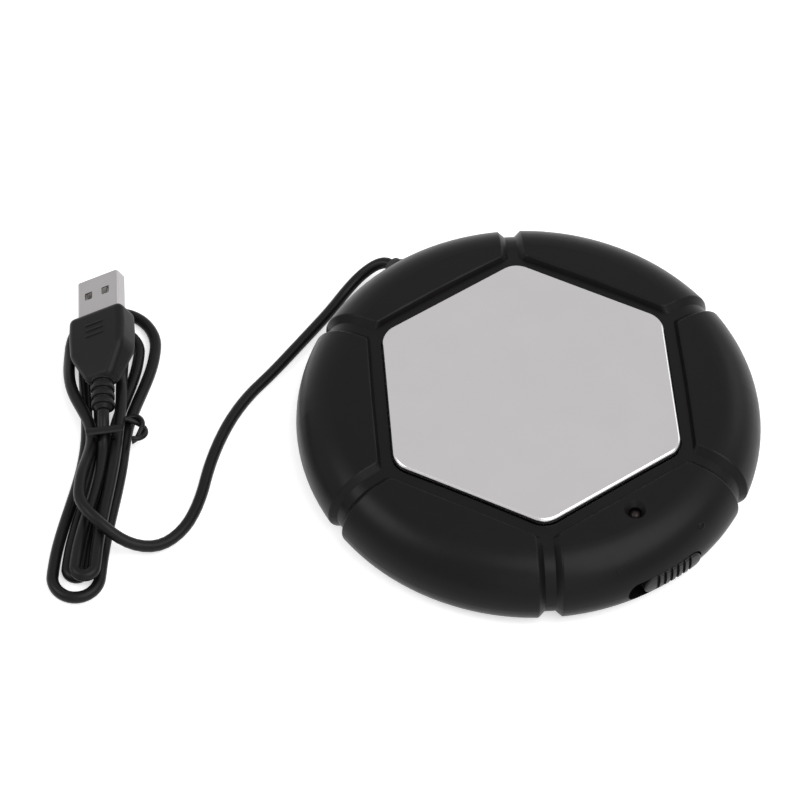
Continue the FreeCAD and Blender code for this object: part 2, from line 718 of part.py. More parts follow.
def retainer_plate():
    plate = hexagon(RETAINER_APOTHEM, RETAINER_BOTTOM, LEDGE_BOTTOM, PLATE_CORNER)
    return plate.cut(stud_holes(RETAINER_BOTTOM, LEDGE_BOTTOM) + [lead_window(RETAINER_BOTTOM, LEDGE_BOTTOM)])


def retainer_nuts():
    nuts = []
    for x, y in stud_places():
        nut = hexagon(NUT_ACROSS / 2, RETAINER_BOTTOM - NUT_HEIGHT, RETAINER_BOTTOM)
        nut.translate(Vector(x, y, 0))
        nuts.append(nut.cut(rod(STUD_RADIUS + 0.02, x, y, 0, PLATE_TOP)))
    return nuts


# Electrical parts

def circuit_board():
    board = box(-BOARD_HALF, BOARD_HALF, BOARD_FRONT, BOARD_BACK, BOARD_BOTTOM, BOARD_TOP)
    upright = [e for e in board.Edges if abs(e.BoundBox.ZLength - BOARD_THICKNESS) < 0.001]
    board = board.makeFillet(1.0, upright)
    places = [(side * LED_LEAD_PITCH / 2, LED_Y) for side in (-1, 1)]
    places += [(pin_x(i), PIN_Y) for i in range(PIN_COUNT)]
    places += [(RESISTOR_X + side * RESISTOR_SPAN / 2, RESISTOR_Y) for side in (-1, 1)]
    holes = [rod(LEAD_HOLE, x, y, 0, BOARD_TOP + 1) for x, y in places]
    holes += [rod(BOARD_SCREW_RADIUS + SCREW_PASS, side * BOARD_POST_X, BOARD_POST_Y, 0, BOARD_TOP + 1)
              for side in (-1, 1)]
    return board.cut(holes)


def board_screws():
    length = BOARD_THICKNESS + BOARD_SCREW_DEPTH
    return [pan_screw(side * BOARD_POST_X, BOARD_POST_Y, BOARD_TOP, BOARD_SCREW_HEAD, BOARD_SCREW_HEAD_HEIGHT,
                      BOARD_SCREW_RADIUS, length, True) for side in (-1, 1)]


SWITCH_BACK = SWITCH_FRONT + SWITCH_DEPTH
PIN_Y = SWITCH_BACK + PIN_THICKNESS / 2


def pin_x(i):
    return (i - (PIN_COUNT - 1) / 2) * PIN_PITCH


def slide_switch_case():
    low = RIM_HEIGHT - SWITCH_HEIGHT / 2
    high = RIM_HEIGHT + SWITCH_HEIGHT / 2
    case = box(-SWITCH_HALF, SWITCH_HALF, SWITCH_FRONT, SWITCH_BACK, low, high)
    inner = SWITCH_HALF - SWITCH_SHEET
    room = box(-inner, inner, SWITCH_FRONT + SWITCH_SHEET, SWITCH_BACK + 1, low + SWITCH_SHEET, high - SWITCH_SHEET)
    half = LEVER_HALF + KNOB_TRAVEL / 2 + 0.2
    tall = LEVER_HEIGHT / 2 + 0.2
    window = box(-half, half, SWITCH_FRONT - 1, SWITCH_FRONT + 1, RIM_HEIGHT - tall, RIM_HEIGHT + tall)
    return case.cut([room, window])


def slide_switch_base():
    inner = SWITCH_HALF - SWITCH_SHEET - 0.05
    tall = SWITCH_HEIGHT / 2 - SWITCH_SHEET - 0.05
    block = box(-inner, inner, SWITCH_BACK - SWITCH_BASE_DEPTH, SWITCH_BACK, RIM_HEIGHT - tall, RIM_HEIGHT + tall)
    pins = []
    for i in range(PIN_COUNT):
        x = pin_x(i)
        pins.append(box(x - PIN_WIDTH / 2, x + PIN_WIDTH / 2, SWITCH_BACK - 0.2, SWITCH_BACK + PIN_THICKNESS,
                        BOARD_BOTTOM - PIN_TAIL, RIM_HEIGHT))
    inside = box(-inner, inner, SWITCH_BACK - 1, SWITCH_BACK, 0, RIM_HEIGHT - tall)
    return block.fuse([pin.cut(inside) for pin in pins])


def slide_switch_lever():
    neck = box(KNOB_REST - LEVER_HALF, KNOB_REST + LEVER_HALF, GUIDE_Y + GUIDE_GAP + FLANGE_THICKNESS + 0.2,
               SWITCH_FRONT + 1, RIM_HEIGHT - LEVER_HEIGHT / 2, RIM_HEIGHT + LEVER_HEIGHT / 2)
    back = SWITCH_FRONT + 2 * SWITCH_SHEET
    slider = box(KNOB_REST - SLIDER_HALF, KNOB_REST + SLIDER_HALF, back, back + SLIDER_THICKNESS,
                 RIM_HEIGHT - SLIDER_HEIGHT / 2, RIM_HEIGHT + SLIDER_HEIGHT / 2)
    return neck.fuse(slider)


def switch_knob():
    skin = revolved(rim_edges(-KNOB_PROUD, CUTTER_INNER, COVER_BOTTOM), [(0, COVER_BOTTOM), (0, COVER_CEILING)])
    skin.translate(Vector(KNOB_REST, 0, 0))
    bar = slot_cutter(KNOB_LENGTH / 2, KNOB_HEIGHT, -RIM_RADIUS - 3, GUIDE_Y + GUIDE_GAP + 0.5, KNOB_REST)
    bar = bar.common(skin)
    face = [e for e in bar.Edges if middle_of(e).y < GUIDE_Y - 2 and e.BoundBox.YLength < 2
            and abs(middle_of(e).z - RIM_HEIGHT) > 0.1]
    bar = bar.makeFillet(KNOB_EDGE, face)
    grooves = []
    for i in range(GROOVE_COUNT):
        x = KNOB_REST + (i - (GROOVE_COUNT - 1) / 2) * GROOVE_PITCH
        y = -math.sqrt((RIM_RADIUS + KNOB_PROUD) ** 2 - (x - KNOB_REST) ** 2) + GROOVE_DEPTH
        grooves.append(box(x - GROOVE_WIDTH / 2, x + GROOVE_WIDTH / 2, -RIM_RADIUS - 3, y, 0, COVER_CEILING))
    bar = bar.cut(grooves)
    front = GUIDE_Y + GUIDE_GAP
    rear = front + FLANGE_THICKNESS
    flange = rounded_bar(FLANGE_HALF, FLANGE_HEIGHT / 2, front, rear, KNOB_REST, RIM_HEIGHT, 1.0)
    inner = LEVER_HALF + LEVER_FIT
    forks = []
    for low, high in ((-FORK_HALF, -inner), (inner, FORK_HALF)):
        forks.append(box(KNOB_REST + low, KNOB_REST + high, rear - 0.2, rear + FORK_REACH,
                         RIM_HEIGHT - FORK_HEIGHT / 2, RIM_HEIGHT + FORK_HEIGHT / 2))
    return bar.fuse([flange] + forks)


def indicator_led():
    low = LED_TOP - LED_LENGTH
    barrel = rod(LED_RADIUS, 0, LED_Y, low, LED_TOP - LED_RADIUS)
    dome = Part.makeSphere(LED_RADIUS, Vector(0, LED_Y, LED_TOP - LED_RADIUS))
    flange = rod(LED_FLANGE_RADIUS, 0, LED_Y, low, low + LED_FLANGE_HEIGHT)
    half = LED_LEAD / 2
    leads = []
    for side in (-1, 1):
        x = side * LED_LEAD_PITCH / 2
        leads.append(box(x - half, x + half, LED_Y - half, LED_Y + half, BOARD_BOTTOM - PIN_TAIL, low + 0.2))
    return barrel.fuse([dome, flange] + leads)


def led_resistor():
    z = BOARD_TOP + RESISTOR_LIFT
    half = RESISTOR_SPAN / 2
    low = BOARD_BOTTOM - PIN_TAIL
    body = Part.makeCylinder(RESISTOR_RADIUS, RESISTOR_LENGTH, Vector(RESISTOR_X - RESISTOR_LENGTH / 2, RESISTOR_Y, z),
                             Vector(1, 0, 0))
    body = body.makeFillet(0.4, body.Edges)
    route = [(RESISTOR_X - half, RESISTOR_Y, low), (RESISTOR_X - half, RESISTOR_Y, z),
             (RESISTOR_X + half, RESISTOR_Y, z), (RESISTOR_X + half, RESISTOR_Y, low)]
    return body.fuse(tube(route, LED_LEAD / 2, 0.6))


# Cords and wires

def tube_path(route, radius=None):
    """Straight runs joined by tangent arcs; with no radius each arc is as large as its runs allow."""
    points = [Vector(*p) for p in route]
    edges, radii = [], []
    here = points[0]
    for a, b, c in zip(points, points[1:], points[2:]):
        before, after = (b - a).normalize(), (c - b).normalize()
        turn = before.getAngle(after)
        shorter = min((b - a).Length, (c - b).Length)
        bend = radius if radius else 0.45 * shorter / math.tan(turn / 2)
        back = bend * math.tan(turn / 2)
        start, end = b - before * back, b + after * back
        middle = b + (after - before).normalize() * (bend / math.cos(turn / 2) - bend)
        edges.append(Part.LineSegment(here, start).toShape())
        edges.append(Part.Arc(start, middle, end).toShape())
        radii.append(bend)
        here = end
    edges.append(Part.LineSegment(here, points[-1]).toShape())
    return Part.Wire(edges), radii


def swept(path, radius):
    first = path.Edges[0]
    start = first.valueAt(first.FirstParameter)
    along = first.tangentAt(first.FirstParameter)
    ring = Part.Wire(Part.makeCircle(radius, start, along))
    return path.makePipeShell([ring], True, False)


def tube(route, radius, bend=None):
    return swept(tube_path(route, bend)[0], radius)


def heater_wires():
    wires = []
    low = FILM_BOTTOM - TAB_THICKNESS
    row = BOARD_BACK - HEATER_WIRE_MARGIN
    for side in (-1, 1):
        x = side * HEATER_WIRE_X
        route = [(side * TAB_X, LEAD_WINDOW_Y, low), (side * TAB_X, LEAD_WINDOW_Y, 10.0), (x, row, 9.6),
                 (x, row, BOARD_TOP)]
        wires.append(tube(route, WIRE_RADIUS, HEATER_WIRE_BEND))
    return wires


def supply_wires():
    wires = []
    floor = BASE_TOP + WIRE_RADIUS + 0.15
    row = BOARD_BACK - SUPPLY_WIRE_MARGIN
    half = CORD_RADIUS / 2
    for side in (-1, 1):
        x = side * SUPPLY_WIRE_X
        route = [(side * half, CORD_INNER_Y, RIM_HEIGHT), (side * half, CORD_INNER_Y - 4.5, RIM_HEIGHT),
                 (side * 6.0, CORD_INNER_Y - 13.0, floor), (side * 14.0, 8.0, floor), (side * 11.0, -18.0, floor),
                 (side * 3.6, row + 6.8, floor + 0.4), (x, row, 8.6), (x, row, BOARD_TOP)]
        wires.append(tube(route, WIRE_RADIUS, SUPPLY_WIRE_BEND))
    return wires


def cord_gland():
    outer_face = GLAND_SEAT + GLAND_COLLAR
    wall = rod_y(GLAND_RADIUS, 0, RIM_HEIGHT, WALL_INNER - GLAND_FLANGE_GAP - 0.2, GLAND_SEAT + 0.2)
    collar = rod_y(GLAND_COLLAR_RADIUS, 0, RIM_HEIGHT, GLAND_SEAT, outer_face)
    tip = Part.makeCone(GLAND_COLLAR_RADIUS - 0.5, GLAND_TIP_RADIUS, GLAND_TIP, Vector(0, outer_face, RIM_HEIGHT),
                        Vector(0, 1, 0))
    face = WALL_INNER - GLAND_FLANGE_GAP
    inner = rod_y(GLAND_FLANGE_RADIUS, 0, RIM_HEIGHT, face - GLAND_FLANGE, face)
    bore = rod_y(CORD_RADIUS + CORD_FIT, 0, RIM_HEIGHT, CORD_INNER_Y, RIM_RADIUS + 9)
    return wall.fuse([collar, tip, inner]).cut(bore)


def cord_clamp():
    half, deep = CLAMP_HALF_WIDTH, CLAMP_HALF_DEPTH
    bar = box(-half, half, CLAMP_Y - deep, CLAMP_Y + deep, RIM_HEIGHT, RIM_HEIGHT + CLAMP_THICKNESS)
    top = [e for e in bar.Edges if abs(middle_of(e).z - RIM_HEIGHT - CLAMP_THICKNESS) < 0.001]
    bar = bar.makeChamfer(0.5, top)
    holes = [rod(BOARD_SCREW_RADIUS + SCREW_PASS, side * CLAMP_SCREW_X, CLAMP_Y, 0, RIM_HEIGHT + 9)
             for side in (-1, 1)]
    return bar.cut([rod_y(CORD_RADIUS, 0, RIM_HEIGHT, CORD_INNER_Y, RIM_RADIUS)] + holes)


def clamp_screws():
    seat = RIM_HEIGHT + CLAMP_THICKNESS
    length = CLAMP_THICKNESS + CLAMP_SCREW_DEPTH - 1
    return [pan_screw(side * CLAMP_SCREW_X, CLAMP_Y, seat, BOARD_SCREW_HEAD, BOARD_SCREW_HEAD_HEIGHT,
                      BOARD_SCREW_RADIUS, length, True) for side in (-1, 1)]


def cord_inlet():
    return rod_y(CORD_RADIUS, 0, RIM_HEIGHT, CORD_INNER_Y, CORD_EXIT_Y)


# Hank of the lead

def place(u, v, z):
    c, s = math.cos(math.radians(HANK_TURN)), math.sin(math.radians(HANK_TURN))
    return Vector(HANK_X + u * c - v * s, HANK_Y + u * s + v * c, z)


def heading(du, dv, dz):
    return (place(du, dv, dz) - place(0, 0, 0)).normalize()


def biarc(p0, t0, p1, t1):
    """The two arcs from p0 along t0 to p1 along t1, each as start, apex and end."""
    chord = p1 - p0
    both = t0 + t1
    bend = 2 * (1 - t0.dot(t1))
    along = chord.dot(both)
    reach = chord.dot(chord) / (2 * along)
    if bend > 1e-9:
        reach = (math.sqrt(along * along + bend * chord.dot(chord)) - along) / bend
    joint = (p0 + p1 + (t0 - t1) * reach) * 0.5
    return [(p0, p0 + t0 * reach, joint), (joint, p1 - t1 * reach, p1)]


def arc_parts(start, apex, end):
    """Half chord, rise of the apex, half turn and rise of the arc."""
    middle = (start + end) * 0.5
    chord = (end - start).Length / 2
    rise = (apex - middle).Length
    half = math.atan2(rise, chord)
    return middle, chord, rise, half


def arc_edge(start, apex, end):
    middle, chord, rise, half = arc_parts(start, apex, end)
    if rise < 1e-3 * chord:
        return Part.LineSegment(start, end).toShape()
    top = middle + (apex - middle) * (chord * math.tan(half / 2) / rise)
    return Part.Arc(start, top, end).toShape()


UP, DOWN = (0, 1, 0), (0, -1, 0)
LEFT, RIGHT = (-1, 0, 0), (1, 0, 0)


def lobe(side_in, side_out, tip, way, z):
    """A fold: in along one side, round its tip, back along the other."""
    across = 1 if side_out > side_in else -1
    half = abs(side_out - side_in) / 2
    middle = (side_in + side_out) / 2
    shoulder = tip - way * half * 1.05
    turn = (across, 0, 0)
    return [((side_in, shoulder, z), (0, way, 0)), ((middle, tip, z), turn), ((side_out, shoulder, z), (0, -way, 0))]


def hank_nodes():
    """Places and headings along three loops, from the strand that comes in to the plug."""
    into = [WAIST_U + WAIST_STEP * k for k in (1.5, 0.5)]
    back = [WAIST_U + WAIST_STEP * k for k in (-1.5, -0.5)]
    low, high = FLAT + WAIST_LIFT, SECOND + WAIST_LIFT
    nodes = [(HANK_START, UP), ((WAIST_U - WAIST_STEP, WAIST_V, high), (-0.1, 1, 0))]
    nodes += [((-7.7, 9.0, SECOND), (-0.28, 1, -0.12))]
    for i in range(3):
        upper = lobe(UPPER_LEFT[i], UPPER_RIGHT[i], UPPER_TIPS[i], 1, FLAT)
        lower = lobe(LOWER_RIGHT[i], LOWER_LEFT[i], LOWER_TIPS[i], -1, FLAT if i < 2 else SECOND)
        nodes += upper
        if i < 2:
            nodes += [((into[i], WAIST_V, low), DOWN)]
        else:
            nodes += [((5.1, 7.0, high), (0.06, -1, 0)), ((WAIST_U + WAIST_STEP, WAIST_V, high), DOWN)]
        nodes += lower
        if i < 2:
            nodes += [((back[i], WAIST_V, low), UP)]
    nodes += [((WAIST_U + 0.1, WAIST_V - 5, high + 0.2), (0, 1, 0.12))]
    return nodes


def hank_arcs():
    nodes = [(place(*p), heading(*t)) for p, t in hank_nodes()]
    nodes.append((place(*HANK_END), tail_axis()[0]))
    arcs = []
    for (p0, t0), (p1, t1) in zip(nodes, nodes[1:]):
        arcs += biarc(p0, t0, p1, t1)
    return arcs


def tail_axis():
    """Direction and length of the strain relief, from the cord's end into the plug's neck."""
    neck = plug_body_placement().multVec(Vector(0, -BODY_STRAIGHT - BODY_TAPER + NECK_OVERLAP, 0))
    axis = neck - place(*HANK_END)
    long = axis.Length
    return axis.normalize(), long


def arc_points(arc, step):
    start, apex, end = arc
    middle, chord, rise, half = arc_parts(start, apex, end)
    if rise < 1e-3 * chord:
        count = max(1, int(2 * chord / step))
        return [start + (end - start) * (i / count) for i in range(count)], 2 * chord, 1e6
    radius = chord / math.sin(half)
    count = max(1, int(2 * half * radius / step))
    across, up = (end - start).normalize(), (apex - middle).normalize()
    centre = middle - up * (radius * math.cos(half))
    turns = [half * (2 * i / count - 1) for i in range(count)]
    points = [centre + up * (radius * math.cos(a)) + across * (radius * math.sin(a)) for a in turns]
    return points, 2 * half * radius, radius


def least_gap(points, step):
    """The smallest clear distance between strands that aren't neighbours along the cord."""
    skip = int(8 * CORD_RADIUS / step)
    best, where = 1e9, None
    for i in range(len(points)):
        for j in range(i + skip, len(points)):
            gap = (points[i] - points[j]).Length
            if gap < best:
                best, where = gap, (i, j)
    return best - 2 * CORD_RADIUS, where


def cord_hank():
    arcs = hank_arcs()
    step, points, length, radii = 1.0, [], 0.0, []
    for arc in arcs:
        some, long, radius = arc_points(arc, step)
        points += some
        length += long
        radii.append(radius)
    gap, (i, j) = least_gap(points, step)
    print(f"hank: length {length:.1f}, tightest bend {min(radii):.2f}, least gap to itself {gap:.2f}")
    for k in (i, j):
        print("   least gap at", [round(c, 1) for c in points[k]])
    path = Part.Wire([arc_edge(*arc) for arc in arcs])
    body = swept(path, CORD_RADIUS)
    section = math.pi * CORD_RADIUS ** 2
    print(f"hank: volume over section times length {body.Volume / (section * path.Length):.4f}")
    return body


def cord_lead():
    u, v, z = HANK_START
    route = list(ROUTE) + [tuple(place(u, v - LEAD_IN, z)), tuple(place(u, v, z))]
    path, radii = tube_path(route)
    body = swept(path, CORD_RADIUS)
    section = math.pi * CORD_RADIUS ** 2
    print("lead: arc radii", " ".join(f"{r:.1f}" for r in radii))
    print(f"lead: length {path.Length:.1f}")
    print(f"lead: volume over section times length {body.Volume / (section * path.Length):.4f}")
    return body


# Twist tie

def in_hank(shape):
    matrix = Placement(Vector(HANK_X, HANK_Y, 0), Rotation(Vector(0, 0, 1), HANK_TURN))
    copy = shape.copy()
    copy.Placement = matrix.multiply(copy.Placement)
    return copy


def twist_tie():
    inner = CORD_RADIUS + TIE_GAP
    left, right = WAIST_U - 1.5 * WAIST_STEP - inner, WAIST_U + 1.5 * WAIST_STEP + inner
    top = SECOND + WAIST_LIFT + TIE_RISE + inner
    outer = TIE_THICKNESS
    y0, y1 = WAIST_V - TIE_WIDTH / 2, WAIST_V + TIE_WIDTH / 2
    middle = (left + right) / 2
    centre = (top + outer) / 2
    band = rounded_bar((right - left) / 2 + outer, centre, y0, y1, middle, centre, TIE_CORNER)
    hollow = rounded_bar((right - left) / 2, centre - outer, y0 - 1, y1 + 1, middle, centre, TIE_CORNER - outer)
    band = band.cut(hollow)
    centre_of_eye = Vector(right + EYE_RADIUS + 0.6, WAIST_V - 1.5, 4.0)
    eye = Part.makeTorus(EYE_RADIUS, TIE_THICKNESS, centre_of_eye, Vector(0.2, 0.3, 1))
    return in_hank(band.fuse(eye))


# Plug

def plug_body_placement():
    turn = Rotation(Vector(0, 0, 1), HANK_TURN).multiply(Rotation(Vector(0, 1, 0), -PLUG_ROLL))
    return Placement(place(PLUG_U, PLUG_V, PLUG_Z), turn)


def on_plug(shape):
    copy = shape.copy()
    copy.Placement = plug_body_placement().multiply(copy.Placement)
    return copy


def rounded_loop(width, height, corner, y):
    """A rounded rectangle at y, as one wire of four lines and four arcs."""
    x, z = width / 2, height / 2
    soft = corner * (1 - math.sqrt(0.5))
    edges = []
    corners = ((1, 1), (-1, 1), (-1, -1), (1, -1))
    spots = []
    for sx, sz in corners:
        a = Vector(sx * x, y, sz * (z - corner))
        m = Vector(sx * (x - soft), y, sz * (z - soft))
        b = Vector(sx * (x - corner), y, sz * z)
        spots.append((a, m, b) if sx * sz > 0 else (b, m, a))
    for i, (a, m, b) in enumerate(spots):
        edges.append(Part.Arc(a, m, b).toShape())
        edges.append(Part.LineSegment(b, spots[(i + 1) % 4][0]).toShape())
    return Part.Wire(edges)


def plug_shell():
    outer = Part.Face(rounded_loop(SHELL_WIDTH, SHELL_HEIGHT, SHELL_CORNER, -SHELL_ROOT))
    inner = Part.Face(rounded_loop(SHELL_WIDTH - 2 * SHELL_SHEET, SHELL_HEIGHT - 2 * SHELL_SHEET,
                                   SHELL_CORNER - SHELL_SHEET, -SHELL_ROOT - 1))
    long = SHELL_ROOT + SHELL_REACH
    shell = outer.extrude(Vector(0, long, 0)).cut(inner.extrude(Vector(0, long + 2, 0)))
    half = WINDOW / 2
    windows = [box(side * WINDOW_X - half, side * WINDOW_X + half, WINDOW_Y - half, WINDOW_Y + half,
                   -SHELL_HEIGHT, SHELL_HEIGHT) for side in (-1, 1)]
    return on_plug(shell.cut(windows))


def plug_tongue():
    half = SHELL_WIDTH / 2 - SHELL_SHEET - 0.05
    low = -SHELL_HEIGHT / 2 + SHELL_SHEET + 0.05
    tongue = box(-half, half, 0, SHELL_REACH - 0.6, low, low + TONGUE_THICKNESS)
    block = box(-half, half, -SHELL_ROOT, 0.8, low, -low)
    solid = tongue.fuse(block)
    along = [e for e in solid.Edges if e.BoundBox.YLength > 2 and abs(abs(middle_of(e).x) - half) < 0.001
             and abs(abs(middle_of(e).z) + low) < 0.001]
    return on_plug(solid.makeFillet(SHELL_CORNER - SHELL_SHEET, along))


def plug_contacts():
    top = -SHELL_HEIGHT / 2 + SHELL_SHEET + 0.05 + TONGUE_THICKNESS
    strips = []
    for i in range(CONTACT_COUNT):
        x = (i - (CONTACT_COUNT - 1) / 2) * CONTACT_PITCH
        short = 1.0 if i in (1, 2) else 0.0
        strips.append(on_plug(box(x - CONTACT_WIDTH / 2, x + CONTACT_WIDTH / 2, 0.8, SHELL_REACH - 1.6 - short,
                                  top, top + CONTACT_THICKNESS)))
    return strips


def plug_overmould():
    front = 1.2
    loops = [
        rounded_loop(BODY_WIDTH, BODY_THICKNESS, 2.4, -front),
        rounded_loop(BODY_WIDTH + 0.3, BODY_THICKNESS, 2.4, -BODY_STRAIGHT / 2),
        rounded_loop(BODY_WIDTH, BODY_THICKNESS, 2.4, -BODY_STRAIGHT),
    ]
    chamfer = Part.makeLoft([rounded_loop(BODY_WIDTH - 1.4, BODY_THICKNESS - 1.4, 1.8, 0), loops[0]], True, True)
    grip = Part.makeLoft(loops, True, True)
    taper = Part.makeLoft([loops[-1], rounded_loop(NECK_WIDTH, NECK_THICKNESS, 2.2, -BODY_STRAIGHT - BODY_TAPER)],
                          True, True)
    body = chamfer.fuse([grip, taper])
    room = Part.Face(rounded_loop(SHELL_WIDTH, SHELL_HEIGHT, SHELL_CORNER, -SHELL_ROOT))
    body = body.cut(room.extrude(Vector(0, SHELL_ROOT + 1, 0)))
    body = on_plug(body)
    end = place(*HANK_END)
    axis, long = tail_axis()
    core = Part.makeCone(RIB_CORE, RIB_CORE + 0.3, long, end, axis)
    ribs = []
    for i in range(RIB_COUNT):
        foot = end + axis * (i * RIB_PITCH)
        radius = NECK_THICKNESS / 2 + 0.05 * i
        ribs.append(Part.makeCylinder(radius, RIB_WIDTH, foot, axis))
    return body.fuse([core] + ribs)


save("top_cover", [top_cover()])
save("base_cover", [base_cover()])
save("housing_screws", housing_screws())
save("rubber_feet", rubber_feet())
save("warming_plate", [warming_plate()])
save("plate_gasket", [plate_gasket()])
save("heater_film", [heater_film()])
save("heater_terminals", heater_terminals())
save("insulation_pad", [insulation_pad()])
save("retainer_plate", [retainer_plate()])
save("retainer_nuts", retainer_nuts())
save("circuit_board", [circuit_board()])
save("board_screws", board_screws())
save("slide_switch_case", [slide_switch_case()])
save("slide_switch_base", [slide_switch_base()])
save("slide_switch_lever", [slide_switch_lever()])
save("switch_knob", [switch_knob()])
save("indicator_led", [indicator_led()])
save("led_resistor", [led_resistor()])
save("heater_wires", heater_wires())
save("supply_wires", supply_wires())
save("cord_gland", [cord_gland()])
save("cord_clamp", [cord_clamp()])
save("clamp_screws", clamp_screws())
save("cord_inlet", [cord_inlet()])
save("cord_lead", [cord_lead()])
save("cord_hank", [cord_hank()])
save("twist_tie", [twist_tie()])
save("plug_shell", [plug_shell()])
save("plug_tongue", [plug_tongue()])
save("plug_contacts", plug_contacts())
save("plug_overmould", [plug_overmould()])
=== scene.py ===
"""A USB mug warmer with a padded round housing, a hexagonal hot plate and a tied lead.

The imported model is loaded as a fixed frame. This file dresses its nodes, models the lead, the plug, the
twist tie and two small raised marks, and sets the floor, the lamps and the camera. Sizes are in
millimetres, apart from the grain of a finish, the floor and the lamps, which are in metres.
"""

import logging
import math
from dataclasses import dataclass, field
from enum import Enum
from typing import Any, Callable

import bmesh
import bpy
from mathutils import Matrix, Vector

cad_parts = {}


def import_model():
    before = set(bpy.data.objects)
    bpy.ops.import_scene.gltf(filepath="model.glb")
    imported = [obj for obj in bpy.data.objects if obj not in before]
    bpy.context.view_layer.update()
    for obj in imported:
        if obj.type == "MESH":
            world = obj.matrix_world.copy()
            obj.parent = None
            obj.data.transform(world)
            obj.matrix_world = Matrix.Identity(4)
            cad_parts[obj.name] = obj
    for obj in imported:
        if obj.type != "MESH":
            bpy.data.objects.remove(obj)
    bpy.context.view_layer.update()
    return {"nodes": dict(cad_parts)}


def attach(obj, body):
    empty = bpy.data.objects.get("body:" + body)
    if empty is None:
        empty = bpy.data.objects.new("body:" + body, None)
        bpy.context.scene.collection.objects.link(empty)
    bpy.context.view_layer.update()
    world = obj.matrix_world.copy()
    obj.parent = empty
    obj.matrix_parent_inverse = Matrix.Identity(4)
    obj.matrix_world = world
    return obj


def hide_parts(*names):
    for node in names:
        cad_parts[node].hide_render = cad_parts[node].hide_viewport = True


LOG = logging.getLogger("mug_warmer")
MM = 0.001
IMAGE_SIZE = 800
SENSOR = 36.0
CAMERA_NEAR = 0.01
QUARTER_TURN = math.radians(90.0)

MOTTLE_SIZE = 0.012
MOTTLE_DETAIL = 4.0
MOTTLE_RAMP = (0.3, 0.7)
HANDLING_SIZE = 0.004
HANDLING_DETAIL = 6.0
LEAST_ROUGHNESS = 0.02
GRAIN_DETAIL = 3.0
FIBRE_DETAIL = 8.0
BRUSH_STRETCH = 30.0

FACING = 0.9
WELD = 0.002
RING_WELD = 0.01
ROUND_STEPS = 5
EDGE_STEPS = 3
FINE_STEPS = 2

Triple = tuple[float, float, float]


class Grain(Enum):
    """The kinds of surface grain that a finish may have."""

    MOULDED = "moulded"
    BRUSHED = "brushed"
    SATIN = "satin"
    FIBRE = "fibre"
    SMOOTH = "smooth"


@dataclass(frozen=True)
class Tree:
    """The node tree of one material while its looks are added."""

    nodes: bpy.types.Nodes
    links: bpy.types.NodeLinks
    shader: bpy.types.Node
    place: bpy.types.NodeSocket

    def noise(self, size: float, detail: float, stretch: float = 1.0) -> bpy.types.Node:
        """Adds a noise texture of the given grain size, stretched along X.

        Args:
            size: the size of one grain in metres.
            detail: how many finer layers the noise has.
            stretch: how much longer a grain is along X than across it.

        Returns:
            The noise node.
        """
        mapping = self.nodes.new("ShaderNodeMapping")
        mapping.inputs["Scale"].default_value = (1.0 / (size * stretch), 1.0 / size, 1.0 / size)
        noise = self.nodes.new("ShaderNodeTexNoise")
        noise.inputs["Scale"].default_value = 1.0
        noise.inputs["Detail"].default_value = detail
        self.links.new(self.place, mapping.inputs["Vector"])
        self.links.new(mapping.outputs["Vector"], noise.inputs["Vector"])
        return noise


